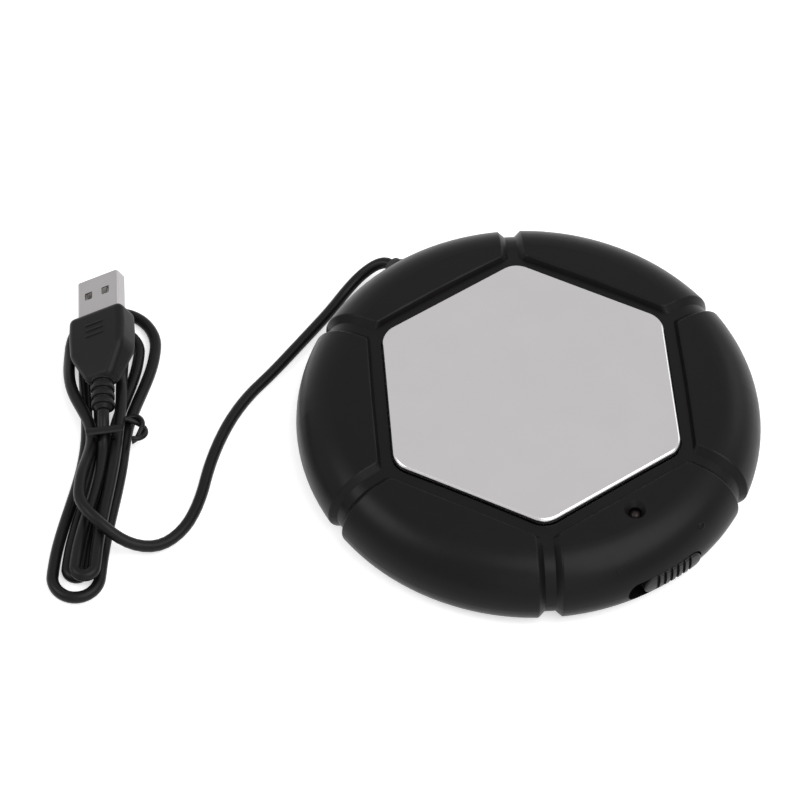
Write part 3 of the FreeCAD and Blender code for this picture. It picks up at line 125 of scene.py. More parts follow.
@dataclass(frozen=True)
class Finish:
    """The look of one surface: its colour, its gloss and its grain."""

    name: str
    colour: Triple
    roughness: float = 0.4
    metallic: float = 0.0
    specular: float = 0.5
    coat: float = 0.0
    grain: Grain = Grain.MOULDED
    grain_size: float = 0.0006
    grain_depth: float = 0.00001
    mottle: float = 0.08
    wear: float = 0.06

    def build(self) -> bpy.types.Material:
        """Makes the node-based material.

        Returns:
            The finished material.
        """
        material = bpy.data.materials.new(self.name)
        material.use_nodes = True
        nodes = material.node_tree.nodes
        shader = nodes["Principled BSDF"]
        shader.inputs["Metallic"].default_value = self.metallic
        shader.inputs["Specular IOR Level"].default_value = self.specular
        shader.inputs["Coat Weight"].default_value = self.coat
        place = nodes.new("ShaderNodeTexCoord").outputs["Object"]
        tree = Tree(nodes, material.node_tree.links, shader, place)
        self._add_colour(tree)
        self._add_gloss(tree)
        self._add_grain(tree)
        return material

    def _add_colour(self, tree: Tree) -> None:
        """Lets the colour vary a little over the piece, as moulded or rolled stock does.

        Args:
            tree: the material's node tree.
        """
        noise = tree.noise(MOTTLE_SIZE, MOTTLE_DETAIL)
        ramp = tree.nodes.new("ShaderNodeValToRGB")
        dark, light = ramp.color_ramp.elements
        dark.position, light.position = MOTTLE_RAMP
        dark.color = (*(c * (1.0 - self.mottle) for c in self.colour), 1.0)
        light.color = (*(min(1.0, c * (1.0 + self.mottle)) for c in self.colour), 1.0)
        tree.links.new(noise.outputs["Fac"], ramp.inputs["Fac"])
        tree.links.new(ramp.outputs["Color"], tree.shader.inputs["Base Color"])

    def _add_gloss(self, tree: Tree) -> None:
        """Lets the gloss vary with handling marks.

        Args:
            tree: the material's node tree.
        """
        noise = tree.noise(HANDLING_SIZE, HANDLING_DETAIL)
        spread = tree.nodes.new("ShaderNodeMapRange")
        spread.inputs["To Min"].default_value = max(LEAST_ROUGHNESS, self.roughness - self.wear)
        spread.inputs["To Max"].default_value = min(1.0, self.roughness + self.wear)
        tree.links.new(noise.outputs["Fac"], spread.inputs["Value"])
        tree.links.new(spread.outputs["Result"], tree.shader.inputs["Roughness"])

    def _add_grain(self, tree: Tree) -> None:
        """Adds the fine relief of the grain.

        Args:
            tree: the material's node tree.
        """
        if self.grain is Grain.SMOOTH:
            return
        stretch = BRUSH_STRETCH if self.grain is Grain.BRUSHED else 1.0
        detail = FIBRE_DETAIL if self.grain is Grain.FIBRE else GRAIN_DETAIL
        noise = tree.noise(self.grain_size, detail, stretch)
        bump = tree.nodes.new("ShaderNodeBump")
        bump.inputs["Distance"].default_value = self.grain_depth
        bump.inputs["Strength"].default_value = 1.0
        tree.links.new(noise.outputs["Fac"], bump.inputs["Height"])
        tree.links.new(bump.outputs["Normal"], tree.shader.inputs["Normal"])


COVER_BLACK = Finish("cover black", (0.0052, 0.0046, 0.005), 0.34, specular=0.11, grain_depth=0.000004,
                     mottle=0.06)
BASE_BLACK = Finish("base black", (0.007, 0.0065, 0.007), 0.55, specular=0.15, grain_depth=0.00002)
KNOB_BLACK = Finish("knob black", (0.008, 0.007, 0.0075), 0.34, specular=0.2, grain_depth=0.000006)
PLATE_GREY = Finish("plate grey", (0.53, 0.515, 0.52), 0.2, metallic=1.0, grain=Grain.SATIN,
                    grain_size=0.0004, grain_depth=0.000002, mottle=0.012, wear=0.03)
CORD_BLACK = Finish("cord black", (0.0055, 0.005, 0.0053), 0.36, specular=0.14, grain_depth=0.00001)
PLUG_BLACK = Finish("plug black", (0.006, 0.0054, 0.0057), 0.42, specular=0.14, grain_depth=0.00001)
TIE_BLACK = Finish("tie black", (0.005, 0.005, 0.005), 0.34, specular=0.16, grain=Grain.SMOOTH)
SHELL_STEEL = Finish("shell steel", (0.37, 0.355, 0.362), 0.3, metallic=1.0, grain=Grain.BRUSHED,
                     grain_size=0.0001, grain_depth=0.000002, mottle=0.03)
SCREW_STEEL = Finish("screw steel", (0.5, 0.5, 0.51), 0.3, metallic=1.0, grain=Grain.SATIN, mottle=0.05)
SHEET_STEEL = Finish("sheet steel", (0.48, 0.48, 0.49), 0.35, metallic=1.0, grain=Grain.BRUSHED)
CONTACT_GOLD = Finish("contact gold", (0.72, 0.5, 0.2), 0.25, metallic=1.0, grain=Grain.SMOOTH)
CONTACT_NICKEL = Finish("contact nickel", (0.42, 0.4, 0.38), 0.3, metallic=1.0, grain=Grain.SMOOTH)
FOOT_RUBBER = Finish("foot rubber", (0.03, 0.03, 0.03), 0.8, specular=0.3, grain_depth=0.00003)
GLAND_RUBBER = Finish("gland rubber", (0.012, 0.012, 0.012), 0.6, specular=0.3)
SILICONE = Finish("silicone", (0.06, 0.06, 0.06), 0.7, specular=0.3)
FILM_AMBER = Finish("film amber", (0.45, 0.16, 0.02), 0.3, coat=0.4, grain=Grain.SATIN)
INSULATION = Finish("insulation", (0.7, 0.68, 0.62), 0.9, specular=0.1, grain=Grain.FIBRE, grain_size=0.001,
                    grain_depth=0.0001)
BOARD_GREEN = Finish("board green", (0.02, 0.12, 0.04), 0.35, coat=0.3, grain=Grain.SATIN)
LAMINATE = Finish("laminate", (0.09, 0.045, 0.02), 0.6)
RESISTOR_TAN = Finish("resistor tan", (0.5, 0.36, 0.18), 0.3, coat=0.5, grain=Grain.SMOOTH)
WIRE_CREAM = Finish("wire cream", (0.55, 0.52, 0.42), 0.5)
WIRE_RED = Finish("wire red", (0.35, 0.02, 0.02), 0.45)
LENS_DARK = Finish("lens dark", (0.012, 0.008, 0.008), 0.35, specular=0.16, grain=Grain.SMOOTH)
TONGUE_WHITE = Finish("tongue white", (0.75, 0.75, 0.72), 0.5)


@dataclass
class Housing:
    """Dresses the pieces that the frame already has in their right shape."""

    finishes: dict[str, Finish] = field(default_factory=lambda: {
        "top_cover": COVER_BLACK, "base_cover": BASE_BLACK, "housing_screws": SCREW_STEEL,
        "rubber_feet": FOOT_RUBBER, "warming_plate": PLATE_GREY, "plate_gasket": SILICONE,
        "heater_film": FILM_AMBER, "heater_terminals": CONTACT_GOLD, "insulation_pad": INSULATION,
        "retainer_plate": SHEET_STEEL, "retainer_nuts": SCREW_STEEL, "circuit_board": BOARD_GREEN,
        "board_screws": SCREW_STEEL, "slide_switch_case": SHEET_STEEL, "slide_switch_base": LAMINATE,
        "slide_switch_lever": KNOB_BLACK, "switch_knob": KNOB_BLACK, "indicator_led": LENS_DARK,
        "led_resistor": RESISTOR_TAN, "heater_wires": WIRE_CREAM, "supply_wires": WIRE_RED,
        "cord_gland": GLAND_RUBBER, "cord_clamp": BASE_BLACK, "clamp_screws": SCREW_STEEL,
        "cord_inlet": CORD_BLACK,
    })

    def dress(self, nodes: dict[str, bpy.types.Object], materials: "Paints") -> None:
        """Gives each node its material.

        Args:
            nodes: the frame's nodes by name.
            materials: the store of built materials.
        """
        for name, finish in self.finishes.items():
            node = nodes[name]
            paint = materials.of(finish)
            for slot in node.material_slots:
                slot.material = paint
            LOG.info("dressed %s in %s", name, finish.name)


class Paints:
    """Builds each finish once and hands out its material."""

    def __init__(self) -> None:
        """Starts with no materials."""
        self._built: dict[str, bpy.types.Material] = {}

    def of(self, finish: Finish) -> bpy.types.Material:
        """The material of a finish.

        Args:
            finish: the finish that is wanted.

        Returns:
            Its material, built the first time it is asked for.
        """
        if finish.name not in self._built:
            self._built[finish.name] = finish.build()
        return self._built[finish.name]


class Bench:
    """The operator steps that the modelled pieces share."""

    @staticmethod
    def clear() -> None:
        """Leaves object mode on and nothing selected."""
        if bpy.context.object and bpy.context.object.mode != "OBJECT":
            bpy.ops.object.mode_set(mode="OBJECT")
        bpy.ops.object.select_all(action="DESELECT")

    @staticmethod
    def started(name: str) -> bpy.types.Object:
        """Names the primitive that was just added and opens it for editing.

        Args:
            name: the piece's name.

        Returns:
            The piece, in edit mode with all of it selected.
        """
        piece = bpy.context.object
        piece.name = name
        piece.data.name = name
        bpy.ops.object.mode_set(mode="EDIT")
        bpy.ops.mesh.select_all(action="SELECT")
        return piece

    @staticmethod
    def block(name: str, size: Triple, middle: Triple) -> bpy.types.Object:
        """Starts a piece as a block, in edit mode.

        Args:
            name: the piece's name.
            size: the block's width, length and height in millimetres.
            middle: the block's middle in millimetres.

        Returns:
            The piece.
        """
        Bench.clear()
        bpy.ops.mesh.primitive_cube_add(size=1.0)
        piece = Bench.started(name)
        bpy.ops.transform.resize(value=[c * MM for c in size], center_override=(0.0, 0.0, 0.0))
        bpy.ops.transform.translate(value=[c * MM for c in middle])
        return piece

    @staticmethod
    def pick_faces(piece: bpy.types.Object, test: Callable[[Vector, Vector], bool]) -> None:
        """Selects the faces that pass a test of their middle and their normal.

        Args:
            piece: the piece in edit mode.
            test: true for the faces that are wanted.
        """
        bpy.ops.mesh.select_mode(type="FACE")
        bpy.ops.mesh.select_all(action="DESELECT")
        mesh = bmesh.from_edit_mesh(piece.data)
        for face in mesh.faces:
            face.select_set(test(face.calc_center_median(), face.normal))
        bmesh.update_edit_mesh(piece.data)

    @staticmethod
    def pick_edges(piece: bpy.types.Object, test: Callable[[Vector, Vector], bool]) -> None:
        """Selects the edges that pass a test of their two ends.

        Args:
            piece: the piece in edit mode.
            test: true for the edges that are wanted.
        """
        bpy.ops.mesh.select_mode(type="EDGE")
        bpy.ops.mesh.select_all(action="DESELECT")
        mesh = bmesh.from_edit_mesh(piece.data)
        for edge in mesh.edges:
            edge.select_set(test(edge.verts[0].co, edge.verts[1].co))
        bmesh.update_edit_mesh(piece.data)

    @staticmethod
    def extrude(step: Triple) -> None:
        """Extrudes what is selected by a step in millimetres."""
        bpy.ops.mesh.extrude_region_move(TRANSFORM_OT_translate={"value": [c * MM for c in step]})

    @staticmethod
    def resize(shares: Triple, centre: Triple) -> None:
        """Scales what is selected about a centre in millimetres."""
        bpy.ops.transform.resize(value=shares, center_override=[c * MM for c in centre])

    @staticmethod
    def modify(piece: bpy.types.Object, kind: str, **settings: Any) -> None:
        """Adds a modifier, sets it and applies it.

        Args:
            piece: the piece to change.
            kind: the modifier's type.
            settings: the modifier's settings by name.
        """
        Bench.clear()
        piece.select_set(True)
        bpy.context.view_layer.objects.active = piece
        bpy.ops.object.modifier_add(type=kind)
        modifier = piece.modifiers[-1]
        for key, value in settings.items():
            setattr(modifier, key, value)
        bpy.ops.object.modifier_apply(modifier=modifier.name)

    @staticmethod
    def join(pieces: list[bpy.types.Object]) -> bpy.types.Object:
        """Joins pieces into the first of them.

        Args:
            pieces: the pieces, the one that stays first.

        Returns:
            The joined piece.
        """
        Bench.clear()
        for piece in pieces:
            piece.select_set(True)
        bpy.context.view_layer.objects.active = pieces[0]
        bpy.ops.object.join()
        return pieces[0]

    @staticmethod
    def copy(piece: bpy.types.Object, name: str, step: Triple) -> bpy.types.Object:
        """Copies a piece with a mesh of its own and moves the copy's mesh.

        Args:
            piece: the piece to copy.
            name: the copy's name.
            step: how far the copy lies from the piece, in millimetres.

        Returns:
            The copy.
        """
        twin = piece.copy()
        twin.data = piece.data.copy()
        twin.name = name
        twin.data.name = name
        bpy.context.scene.collection.objects.link(twin)
        twin.data.transform(Matrix.Translation(Vector(step) * MM))
        return twin

    @staticmethod
    def settle(piece: bpy.types.Object, place: Matrix, paint: bpy.types.Material,
               angle: float = 35.0) -> None:
        """Puts a piece in its place, with the place in its mesh, and finishes its surface.

        Args:
            piece: the piece.
            place: where the piece's own frame lies, in metres.
            paint: its material.
            angle: edges sharper than this many degrees stay sharp.
        """
        Bench.clear()
        piece.select_set(True)
        bpy.context.view_layer.objects.active = piece
        piece.matrix_world = place
        bpy.ops.object.transform_apply(location=True, rotation=True, scale=True)
        bpy.ops.object.mode_set(mode="EDIT")
        bpy.ops.mesh.select_all(action="SELECT")
        bpy.ops.mesh.remove_doubles(threshold=WELD * MM)
        bpy.ops.mesh.normals_make_consistent(inside=False)
        bpy.ops.object.mode_set(mode="OBJECT")
        bpy.ops.object.shade_smooth_by_angle(angle=math.radians(angle))
        Bench.modify(piece, "WEIGHTED_NORMAL", weight=100, keep_sharp=True)
        piece.data.materials.clear()
        piece.data.materials.append(paint)
        LOG.info("modelled %s with %d faces", piece.name, len(piece.data.polygons))


@dataclass
class Hank:
    """The lead's three tied loops, in a frame of their own: u across, v along, z up.

    The tips, left and right sides are given for each loop in turn. A strand lies flat on the table or on a
    second layer, and is lifted at the waist.
    """

    origin: tuple[float, float] = (-88.0, 62.0)
    turn: float = -34.8
    flat: float = 1.5
    second: float = 5.2
    lift: float = 0.8
    waist_u: float = 1.7
    waist_v: float = -6.5
    step: float = 3.2
    upper_tips: tuple[float, ...] = (36.5, 30.5, 24.8)
    upper_left: tuple[float, ...] = (-9.2, -5.5, -1.8)
    upper_right: tuple[float, ...] = (12.6, 8.5, 4.5)
    lower_tips: tuple[float, ...] = (-52.3, -46.4, -48.3)
    lower_right: tuple[float, ...] = (2.8, -0.7, 1.7)
    lower_left: tuple[float, ...] = (-8.9, -5.4, -3.2)
    outer_strand: float = 1.5
    start: Triple = (-3.2, -23.5, 8.8)
    into_waist: Triple = (-0.1, 1.0, 0.0)
    first_descent: tuple[float, float] = (-7.7, 9.0)
    descending: Triple = (-0.28, 1.0, -0.12)
    last_crossing: tuple[float, float] = (5.1, 7.0)
    crossing: Triple = (0.06, -1.0, 0.0)
    last_strand: Triple = (-0.1, -5.0, 0.2)
    rising: Triple = (0.0, 1.0, 0.12)
    end: Triple = (1.2, -1.4, 9.4)
    grip_front: Triple = (-0.9, 28.0, 10.5)
    lead_in: float = 5.0
    fold_reach: float = 1.05
    fullness: float = 0.17
    points_per_span: int = 6

    def place(self, u: float, v: float, z: float) -> Vector:
        """The point in the row frame, in millimetres, of a point in the hank's frame."""
        c, s = math.cos(math.radians(self.turn)), math.sin(math.radians(self.turn))
        return Vector((self.origin[0] + u * c - v * s, self.origin[1] + u * s + v * c, z))

    def heading(self, du: float, dv: float, dz: float) -> Vector:
        """The row-frame direction of a direction in the hank's frame."""
        return (self.place(du, dv, dz) - self.place(0.0, 0.0, 0.0)).normalized()

    def lobe(self, side_in: float, side_out: float, tip: float, way: int,
             z: float) -> list[tuple[Triple, Triple]]:
        """The three nodes of a fold: into it, at its tip and out of it.

        Args:
            side_in: u of the strand that goes in.
            side_out: u of the strand that comes back.
            tip: v of the fold's tip.
            way: 1 for a fold at the far end, -1 for one at the near end.
            z: the height of the strand.

        Returns:
            Pairs of a place and a heading.
        """
        across = 1.0 if side_out > side_in else -1.0
        shoulder = tip - way * abs(side_out - side_in) / 2 * self.fold_reach
        middle = (side_in + side_out) / 2
        return [
            ((side_in, shoulder, z), (0.0, way, 0.0)),
            ((middle, tip, z), (across, 0.0, 0.0)),
            ((side_out, shoulder, z), (0.0, -way, 0.0)),
        ]

    def nodes(self) -> list[tuple[Vector, Vector]]:
        """Places and headings along the loops, from the incoming strand to the plug.

        Returns:
            Pairs of a place in millimetres and a heading, in the row's frame.
        """
        away, nearer = (0.0, 1.0, 0.0), (0.0, -1.0, 0.0)
        low, high = self.flat + self.lift, self.second + self.lift
        into = [self.waist_u + self.step * (self.outer_strand - k) for k in range(2)]
        back = [self.waist_u - self.step * (self.outer_strand - k) for k in range(2)]
        spots = [
            (self.start, away),
            ((self.waist_u - self.step, self.waist_v, high), self.into_waist),
            ((*self.first_descent, self.second), self.descending),
        ]
        for i, tip in enumerate(self.upper_tips):
            spots += self.lobe(self.upper_left[i], self.upper_right[i], tip, 1, self.flat)
            if i < len(into):
                spots.append(((into[i], self.waist_v, low), nearer))
            else:
                spots.append(((*self.last_crossing, high), self.crossing))
                spots.append(((self.waist_u + self.step, self.waist_v, high), nearer))
            level = self.flat if i < len(back) else self.second
            spots += self.lobe(self.lower_right[i], self.lower_left[i], self.lower_tips[i], -1, level)
            if i < len(back):
                spots.append(((back[i], self.waist_v, low), away))
        u, v, rise = self.last_strand
        spots.append(((self.waist_u + u, self.waist_v + v, high + rise), self.rising))
        ready = [(self.place(*p), self.heading(*t)) for p, t in spots]
        end = self.place(*self.end)
        ready.append((end, (self.place(*self.grip_front) - end).normalized()))
        return ready

    def points(self) -> list[Vector]:
        """Points of the loops for the lead's spline.

        Returns:
            The points in millimetres, in the row's frame.
        """
        found = []
        nodes = self.nodes()
        for (p0, t0), (p1, t1) in zip(nodes, nodes[1:]):
            pull = (p1 - p0).length * (1.0 + self.fullness * (t0.angle(t1) / QUARTER_TURN) ** 2)
            for i in range(self.points_per_span):
                found.append(self._between(p0, t0 * pull, p1, t1 * pull, i / self.points_per_span))
        found.append(nodes[-1][0])
        return found

    @staticmethod
    def _between(p0: Vector, m0: Vector, p1: Vector, m1: Vector, t: float) -> Vector:
        """A point on the smooth run between two points.

        Args:
            p0: the run's first point.
            m0: the pull at the first point.
            p1: the run's last point.
            m1: the pull at the last point.
            t: the share of the run that lies behind the point.

        Returns:
            The point.
        """
        a = 2 * t ** 3 - 3 * t ** 2 + 1
        b = t ** 3 - 2 * t ** 2 + t
        return p0 * a + m0 * b + p1 * (1 - a) + m1 * (t ** 3 - t ** 2)


@dataclass
class Lead:
    """The lead from the body to the plug: one spline that lies on the table and then winds."""

    radius: float = 1.5
    real_length: float = 0.69
    section_steps: int = 5
    run_steps: int = 4
    exit: Triple = (0.0, 58.0, 7.4)
    route: tuple[Triple, ...] = (
        (0.0, 58.0, 7.4),
        (0.0, 61.5, 7.3),
        (-2.4, 63.9, 6.2),
        (-6.8, 64.9, 3.6),
        (-12.4, 63.8, 1.7),
        (-19.4, 60.6, 1.5),
        (-31.1, 56.3, 1.5),
        (-43.0, 51.9, 1.5),
        (-52.3, 49.2, 1.5),
        (-61.6, 44.4, 1.5),
        (-71.4, 36.8, 1.5),
        (-79.4, 28.4, 1.5),
        (-87.5, 22.9, 1.5),
        (-96.0, 21.6, 2.0),
        (-103.0, 25.2, 5.4),
        (-106.6, 33.1, 9.3),
    )
    hank: Hank = field(default_factory=Hank)

    def build(self, paint: bpy.types.Material, pieces: list[bpy.types.Object]) -> bpy.types.Object:
        """Args:
            paint: the jacket's material.
            pieces: not used.

        Returns:
            The lead's curve object.
        """
        u, v, z = self.hank.start
        points = [Vector(p) for p in self.route]
        points.append(self.hank.place(u, v - self.hank.lead_in, z))
        points += self.hank.points()
        curve = bpy.data.curves.new("lead", "CURVE")
        curve.dimensions = "3D"
        curve.bevel_depth = self.radius * MM
        curve.bevel_resolution = self.section_steps
        curve.resolution_u = self.run_steps
        curve.use_fill_caps = True
        spline = curve.splines.new("NURBS")
        spline.points.add(len(points) - 1)
        for target, point in zip(spline.points, points):
            target.co = (*(point * MM), 1.0)
        spline.order_u = 3
        spline.use_endpoint_u = True
        spline.use_smooth = True
        lead = bpy.data.objects.new("lead", curve)
        bpy.context.scene.collection.objects.link(lead)
        curve.materials.append(paint)
        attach(lead, "housing")
        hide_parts("cord_lead", "cord_hank")
        LOG.info("lead has %d points", len(points))
        return lead


@dataclass
class Plug:
    """The USB-A plug: shell, tongue, contacts and a moulded grip with a ribbed neck.

    It is modelled with its width along X, its shell along +Y and the grip's front face at the origin.
    """

    hank: Hank
    roll: float = -28.5
    shell: Triple = (12.0, 12.4, 4.5)
    shell_root: float = 1.0
    shell_corner: float = 0.9
    sheet: float = 0.3
    window: float = 2.2
    window_x: float = 2.5
    window_y: float = 6.2
    tongue: Triple = (11.2, 10.8, 1.9)
    tongue_middle: Triple = (0.0, 5.4, -0.95)
    tongue_tip: float = 0.5
    tongue_tip_shares: Triple = (0.96, 1.0, 0.6)
    tongue_edge: float = 0.15
    contact: Triple = (1.0, 8.6, 0.2)
    contact_start: float = 0.8
    contact_dip: Triple = (0.0, 0.4, -0.12)
    contact_edge: float = 0.05
    contact_pitch: float = 2.3
    contact_count: int = 4
    grip: Triple = (15.8, 12.0, 8.0)
    swell: float = 1.03
    taper: float = 9.0
    grip_edge: float = 1.8
    grip_edge_angle: float = 20.0
    neck: tuple[float, float] = (7.0, 5.8)
    neck_overlap: float = 1.4
    neck_seed: float = 1.0
    neck_sides: int = 40
    neck_tip: float = 0.75
    neck_edge: float = 0.22
    neck_edge_angle: float = 40.0
    rib_radius: float = 3.0
    rib_core: float = 2.35
    rib_width: float = 1.35
    rib_gap: float = 1.1
    rib_count: int = 4
    thumb_lines: int = 3
    thumb_line: Triple = (5.2, 0.55, 0.5)
    thumb_start: float = 4.6
    thumb_pitch: float = 1.7
    thumb_edge: float = 0.2

    def frame(self) -> Matrix:
        """The plug's place: its axis runs from the end of the neck to the front of the grip.

        Returns:
            The place in metres.
        """
        front = self.hank.place(*self.hank.grip_front)
        along = (front - self.hank.place(*self.hank.end)).normalized()
        across = along.cross(Vector((0.0, 0.0, 1.0))).normalized()
        upright = Matrix((across, along, across.cross(along))).transposed().to_4x4()
        return Matrix.Translation(front * MM) @ upright @ Matrix.Rotation(math.radians(self.roll), 4, "Y")

    def make_shell(self) -> bpy.types.Object:
        """The drawn steel shell with its two windows.

        Returns:
            The shell.
        """
        _, length, height = self.shell
        piece = Bench.block("plug_shell_drawn", self.shell, (0.0, length / 2 - self.shell_root, 0.0))
        Bench.pick_faces(piece, lambda middle, normal: abs(normal.y) > FACING)
        bpy.ops.mesh.delete(type="FACE")
        Bench.pick_edges(piece, lambda a, b: abs(a.y - b.y) > length * MM / 2)
        bpy.ops.mesh.bevel(offset=self.shell_corner * MM, segments=ROUND_STEPS, affect="EDGES")
        Bench.modify(piece, "SOLIDIFY", thickness=self.sheet * MM, offset=-1.0)
        for side in (-1, 1):
            cutter = Bench.block("window", (self.window, self.window, height * 2),
                                 (side * self.window_x, self.window_y, 0.0))
            Bench.pick_edges(cutter, lambda a, b: abs(a.z - b.z) > height * MM)
            bpy.ops.mesh.bevel(offset=self.sheet * MM, segments=EDGE_STEPS, affect="EDGES")
            Bench.modify(piece, "BOOLEAN", object=cutter, operation="DIFFERENCE", solver="EXACT")
            bpy.data.objects.remove(cutter)
        return piece

    def make_tongue(self) -> bpy.types.Object:
        """The insulating tongue that carries the contacts.

        Returns:
            The tongue.
        """
        piece = Bench.block("plug_tongue_moulded", self.tongue, self.tongue_middle)
        Bench.pick_faces(piece, lambda middle, normal: normal.y > FACING)
        Bench.extrude((0.0, self.tongue_tip, 0.0))
        Bench.resize(self.tongue_tip_shares, self.tongue_middle)
        Bench.modify(piece, "BEVEL", width=self.tongue_edge * MM, segments=FINE_STEPS, limit_method="ANGLE")
        return piece

    def make_contacts(self) -> bpy.types.Object:
        """The four contact strips, each with its front end turned down.

        Returns:
            The strips, joined into one piece.
        """
        _, length, height = self.contact
        top = self.tongue_middle[2] + self.tongue[2] / 2
        first = Bench.block("plug_contact_strips", self.contact,
                            (0.0, length / 2 + self.contact_start, top + height / 2))
        Bench.pick_faces(first, lambda middle, normal: normal.y > FACING)
        Bench.extrude(self.contact_dip)
        Bench.modify(first, "BEVEL", width=self.contact_edge * MM, segments=FINE_STEPS,
                     limit_method="ANGLE")
        strips = [first]
        for i in range(1, self.contact_count):
            strips.append(Bench.copy(first, f"strip_{i}", (i * self.contact_pitch, 0.0, 0.0)))
        row = Bench.join(strips)
        middle = (self.contact_count - 1) * self.contact_pitch / 2
        row.data.transform(Matrix.Translation((-middle * MM, 0.0, 0.0)))
        return row

    def make_grip(self) -> bpy.types.Object:
        """The moulded grip: a body with soft edges, a taper, a ribbed neck and thumb lines.

        Returns:
            The grip.
        """
        width, length, height = self.grip
        body = Bench.block("plug_grip_moulded", self.grip, (0.0, -length / 2, 0.0))
        bpy.ops.mesh.bisect(plane_co=(0.0, -length * MM / 2, 0.0), plane_no=(0.0, 1.0, 0.0))
        Bench.resize((self.swell, 1.0, 1.0), (0.0, -length / 2, 0.0))
        Bench.pick_faces(body, lambda middle, normal: normal.y < -FACING)
        Bench.extrude((0.0, -self.taper, 0.0))
        Bench.resize((self.neck[0] / width, 1.0, self.neck[1] / height), (0.0, -length - self.taper, 0.0))
        Bench.modify(body, "BEVEL", width=self.grip_edge * MM, segments=ROUND_STEPS, limit_method="ANGLE",
                     angle_limit=math.radians(self.grip_edge_angle))
        Bench.modify(body, "BOOLEAN", object=self.make_neck(), operation="UNION", solver="EXACT")
        bpy.data.objects.remove(bpy.data.objects["neck"])
        for i in range(self.thumb_lines):
            along = -self.thumb_start - self.thumb_pitch * i
            line = Bench.block("thumb_line", self.thumb_line, (0.0, along, height / 2))
            bpy.ops.mesh.bevel(offset=self.thumb_edge * MM, segments=EDGE_STEPS, affect="EDGES")
            Bench.modify(body, "BOOLEAN", object=line, operation="UNION", solver="EXACT")
            bpy.data.objects.remove(line)
        return body

    def make_neck(self) -> bpy.types.Object:
        """The bending neck, drawn out as one stack of ribs and grooves.

        Returns:
            The neck.
        """
        Bench.clear()
        start = -self.grip[1] - self.taper + self.neck_overlap
        bpy.ops.mesh.primitive_cylinder_add(vertices=self.neck_sides, radius=self.rib_core * MM,
                                            depth=2 * self.neck_seed * MM)
        neck = Bench.started("neck")
        bpy.ops.transform.rotate(value=QUARTER_TURN, orient_axis="X", center_override=(0.0, 0.0, 0.0))
        bpy.ops.transform.translate(value=(0.0, (start + self.neck_seed) * MM, 0.0))
        Bench.pick_faces(neck, lambda middle, normal: normal.y < -FACING)
        place = start
        swell = self.rib_radius / self.rib_core
        for _ in range(self.rib_count):
            for share, step in ((swell, self.rib_width), (1.0 / swell, self.rib_gap)):
                Bench.extrude((0.0, 0.0, 0.0))
                Bench.resize((share, 1.0, share), (0.0, place, 0.0))
                Bench.extrude((0.0, -step, 0.0))
                place -= step
        Bench.resize((self.neck_tip, 1.0, self.neck_tip), (0.0, place, 0.0))
        Bench.modify(neck, "BEVEL", width=self.neck_edge * MM, segments=EDGE_STEPS, limit_method="ANGLE",
                     angle_limit=math.radians(self.neck_edge_angle))
        return neck

    def build(self, paints: "Paints") -> list[bpy.types.Object]:
        """Makes the plug's four pieces and puts them on the end of the lead.

        Args:
            paints: the store of built materials.

        Returns:
            The pieces.
        """
        makes = (
            (self.make_shell(), SHELL_STEEL, "plug_shell", "plug_steel"),
            (self.make_tongue(), TONGUE_WHITE, "plug_tongue", "tongue_plastic"),
            (self.make_contacts(), CONTACT_NICKEL, "plug_contacts", "contact_metal"),
            (self.make_grip(), PLUG_BLACK, "plug_overmould", "plug_plastic"),
        )
        for piece, finish, node, slot in makes:
            Bench.settle(piece, self.frame(), paints.of(finish))
            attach(piece, "housing")
            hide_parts(node)
        return [made[0] for made in makes]


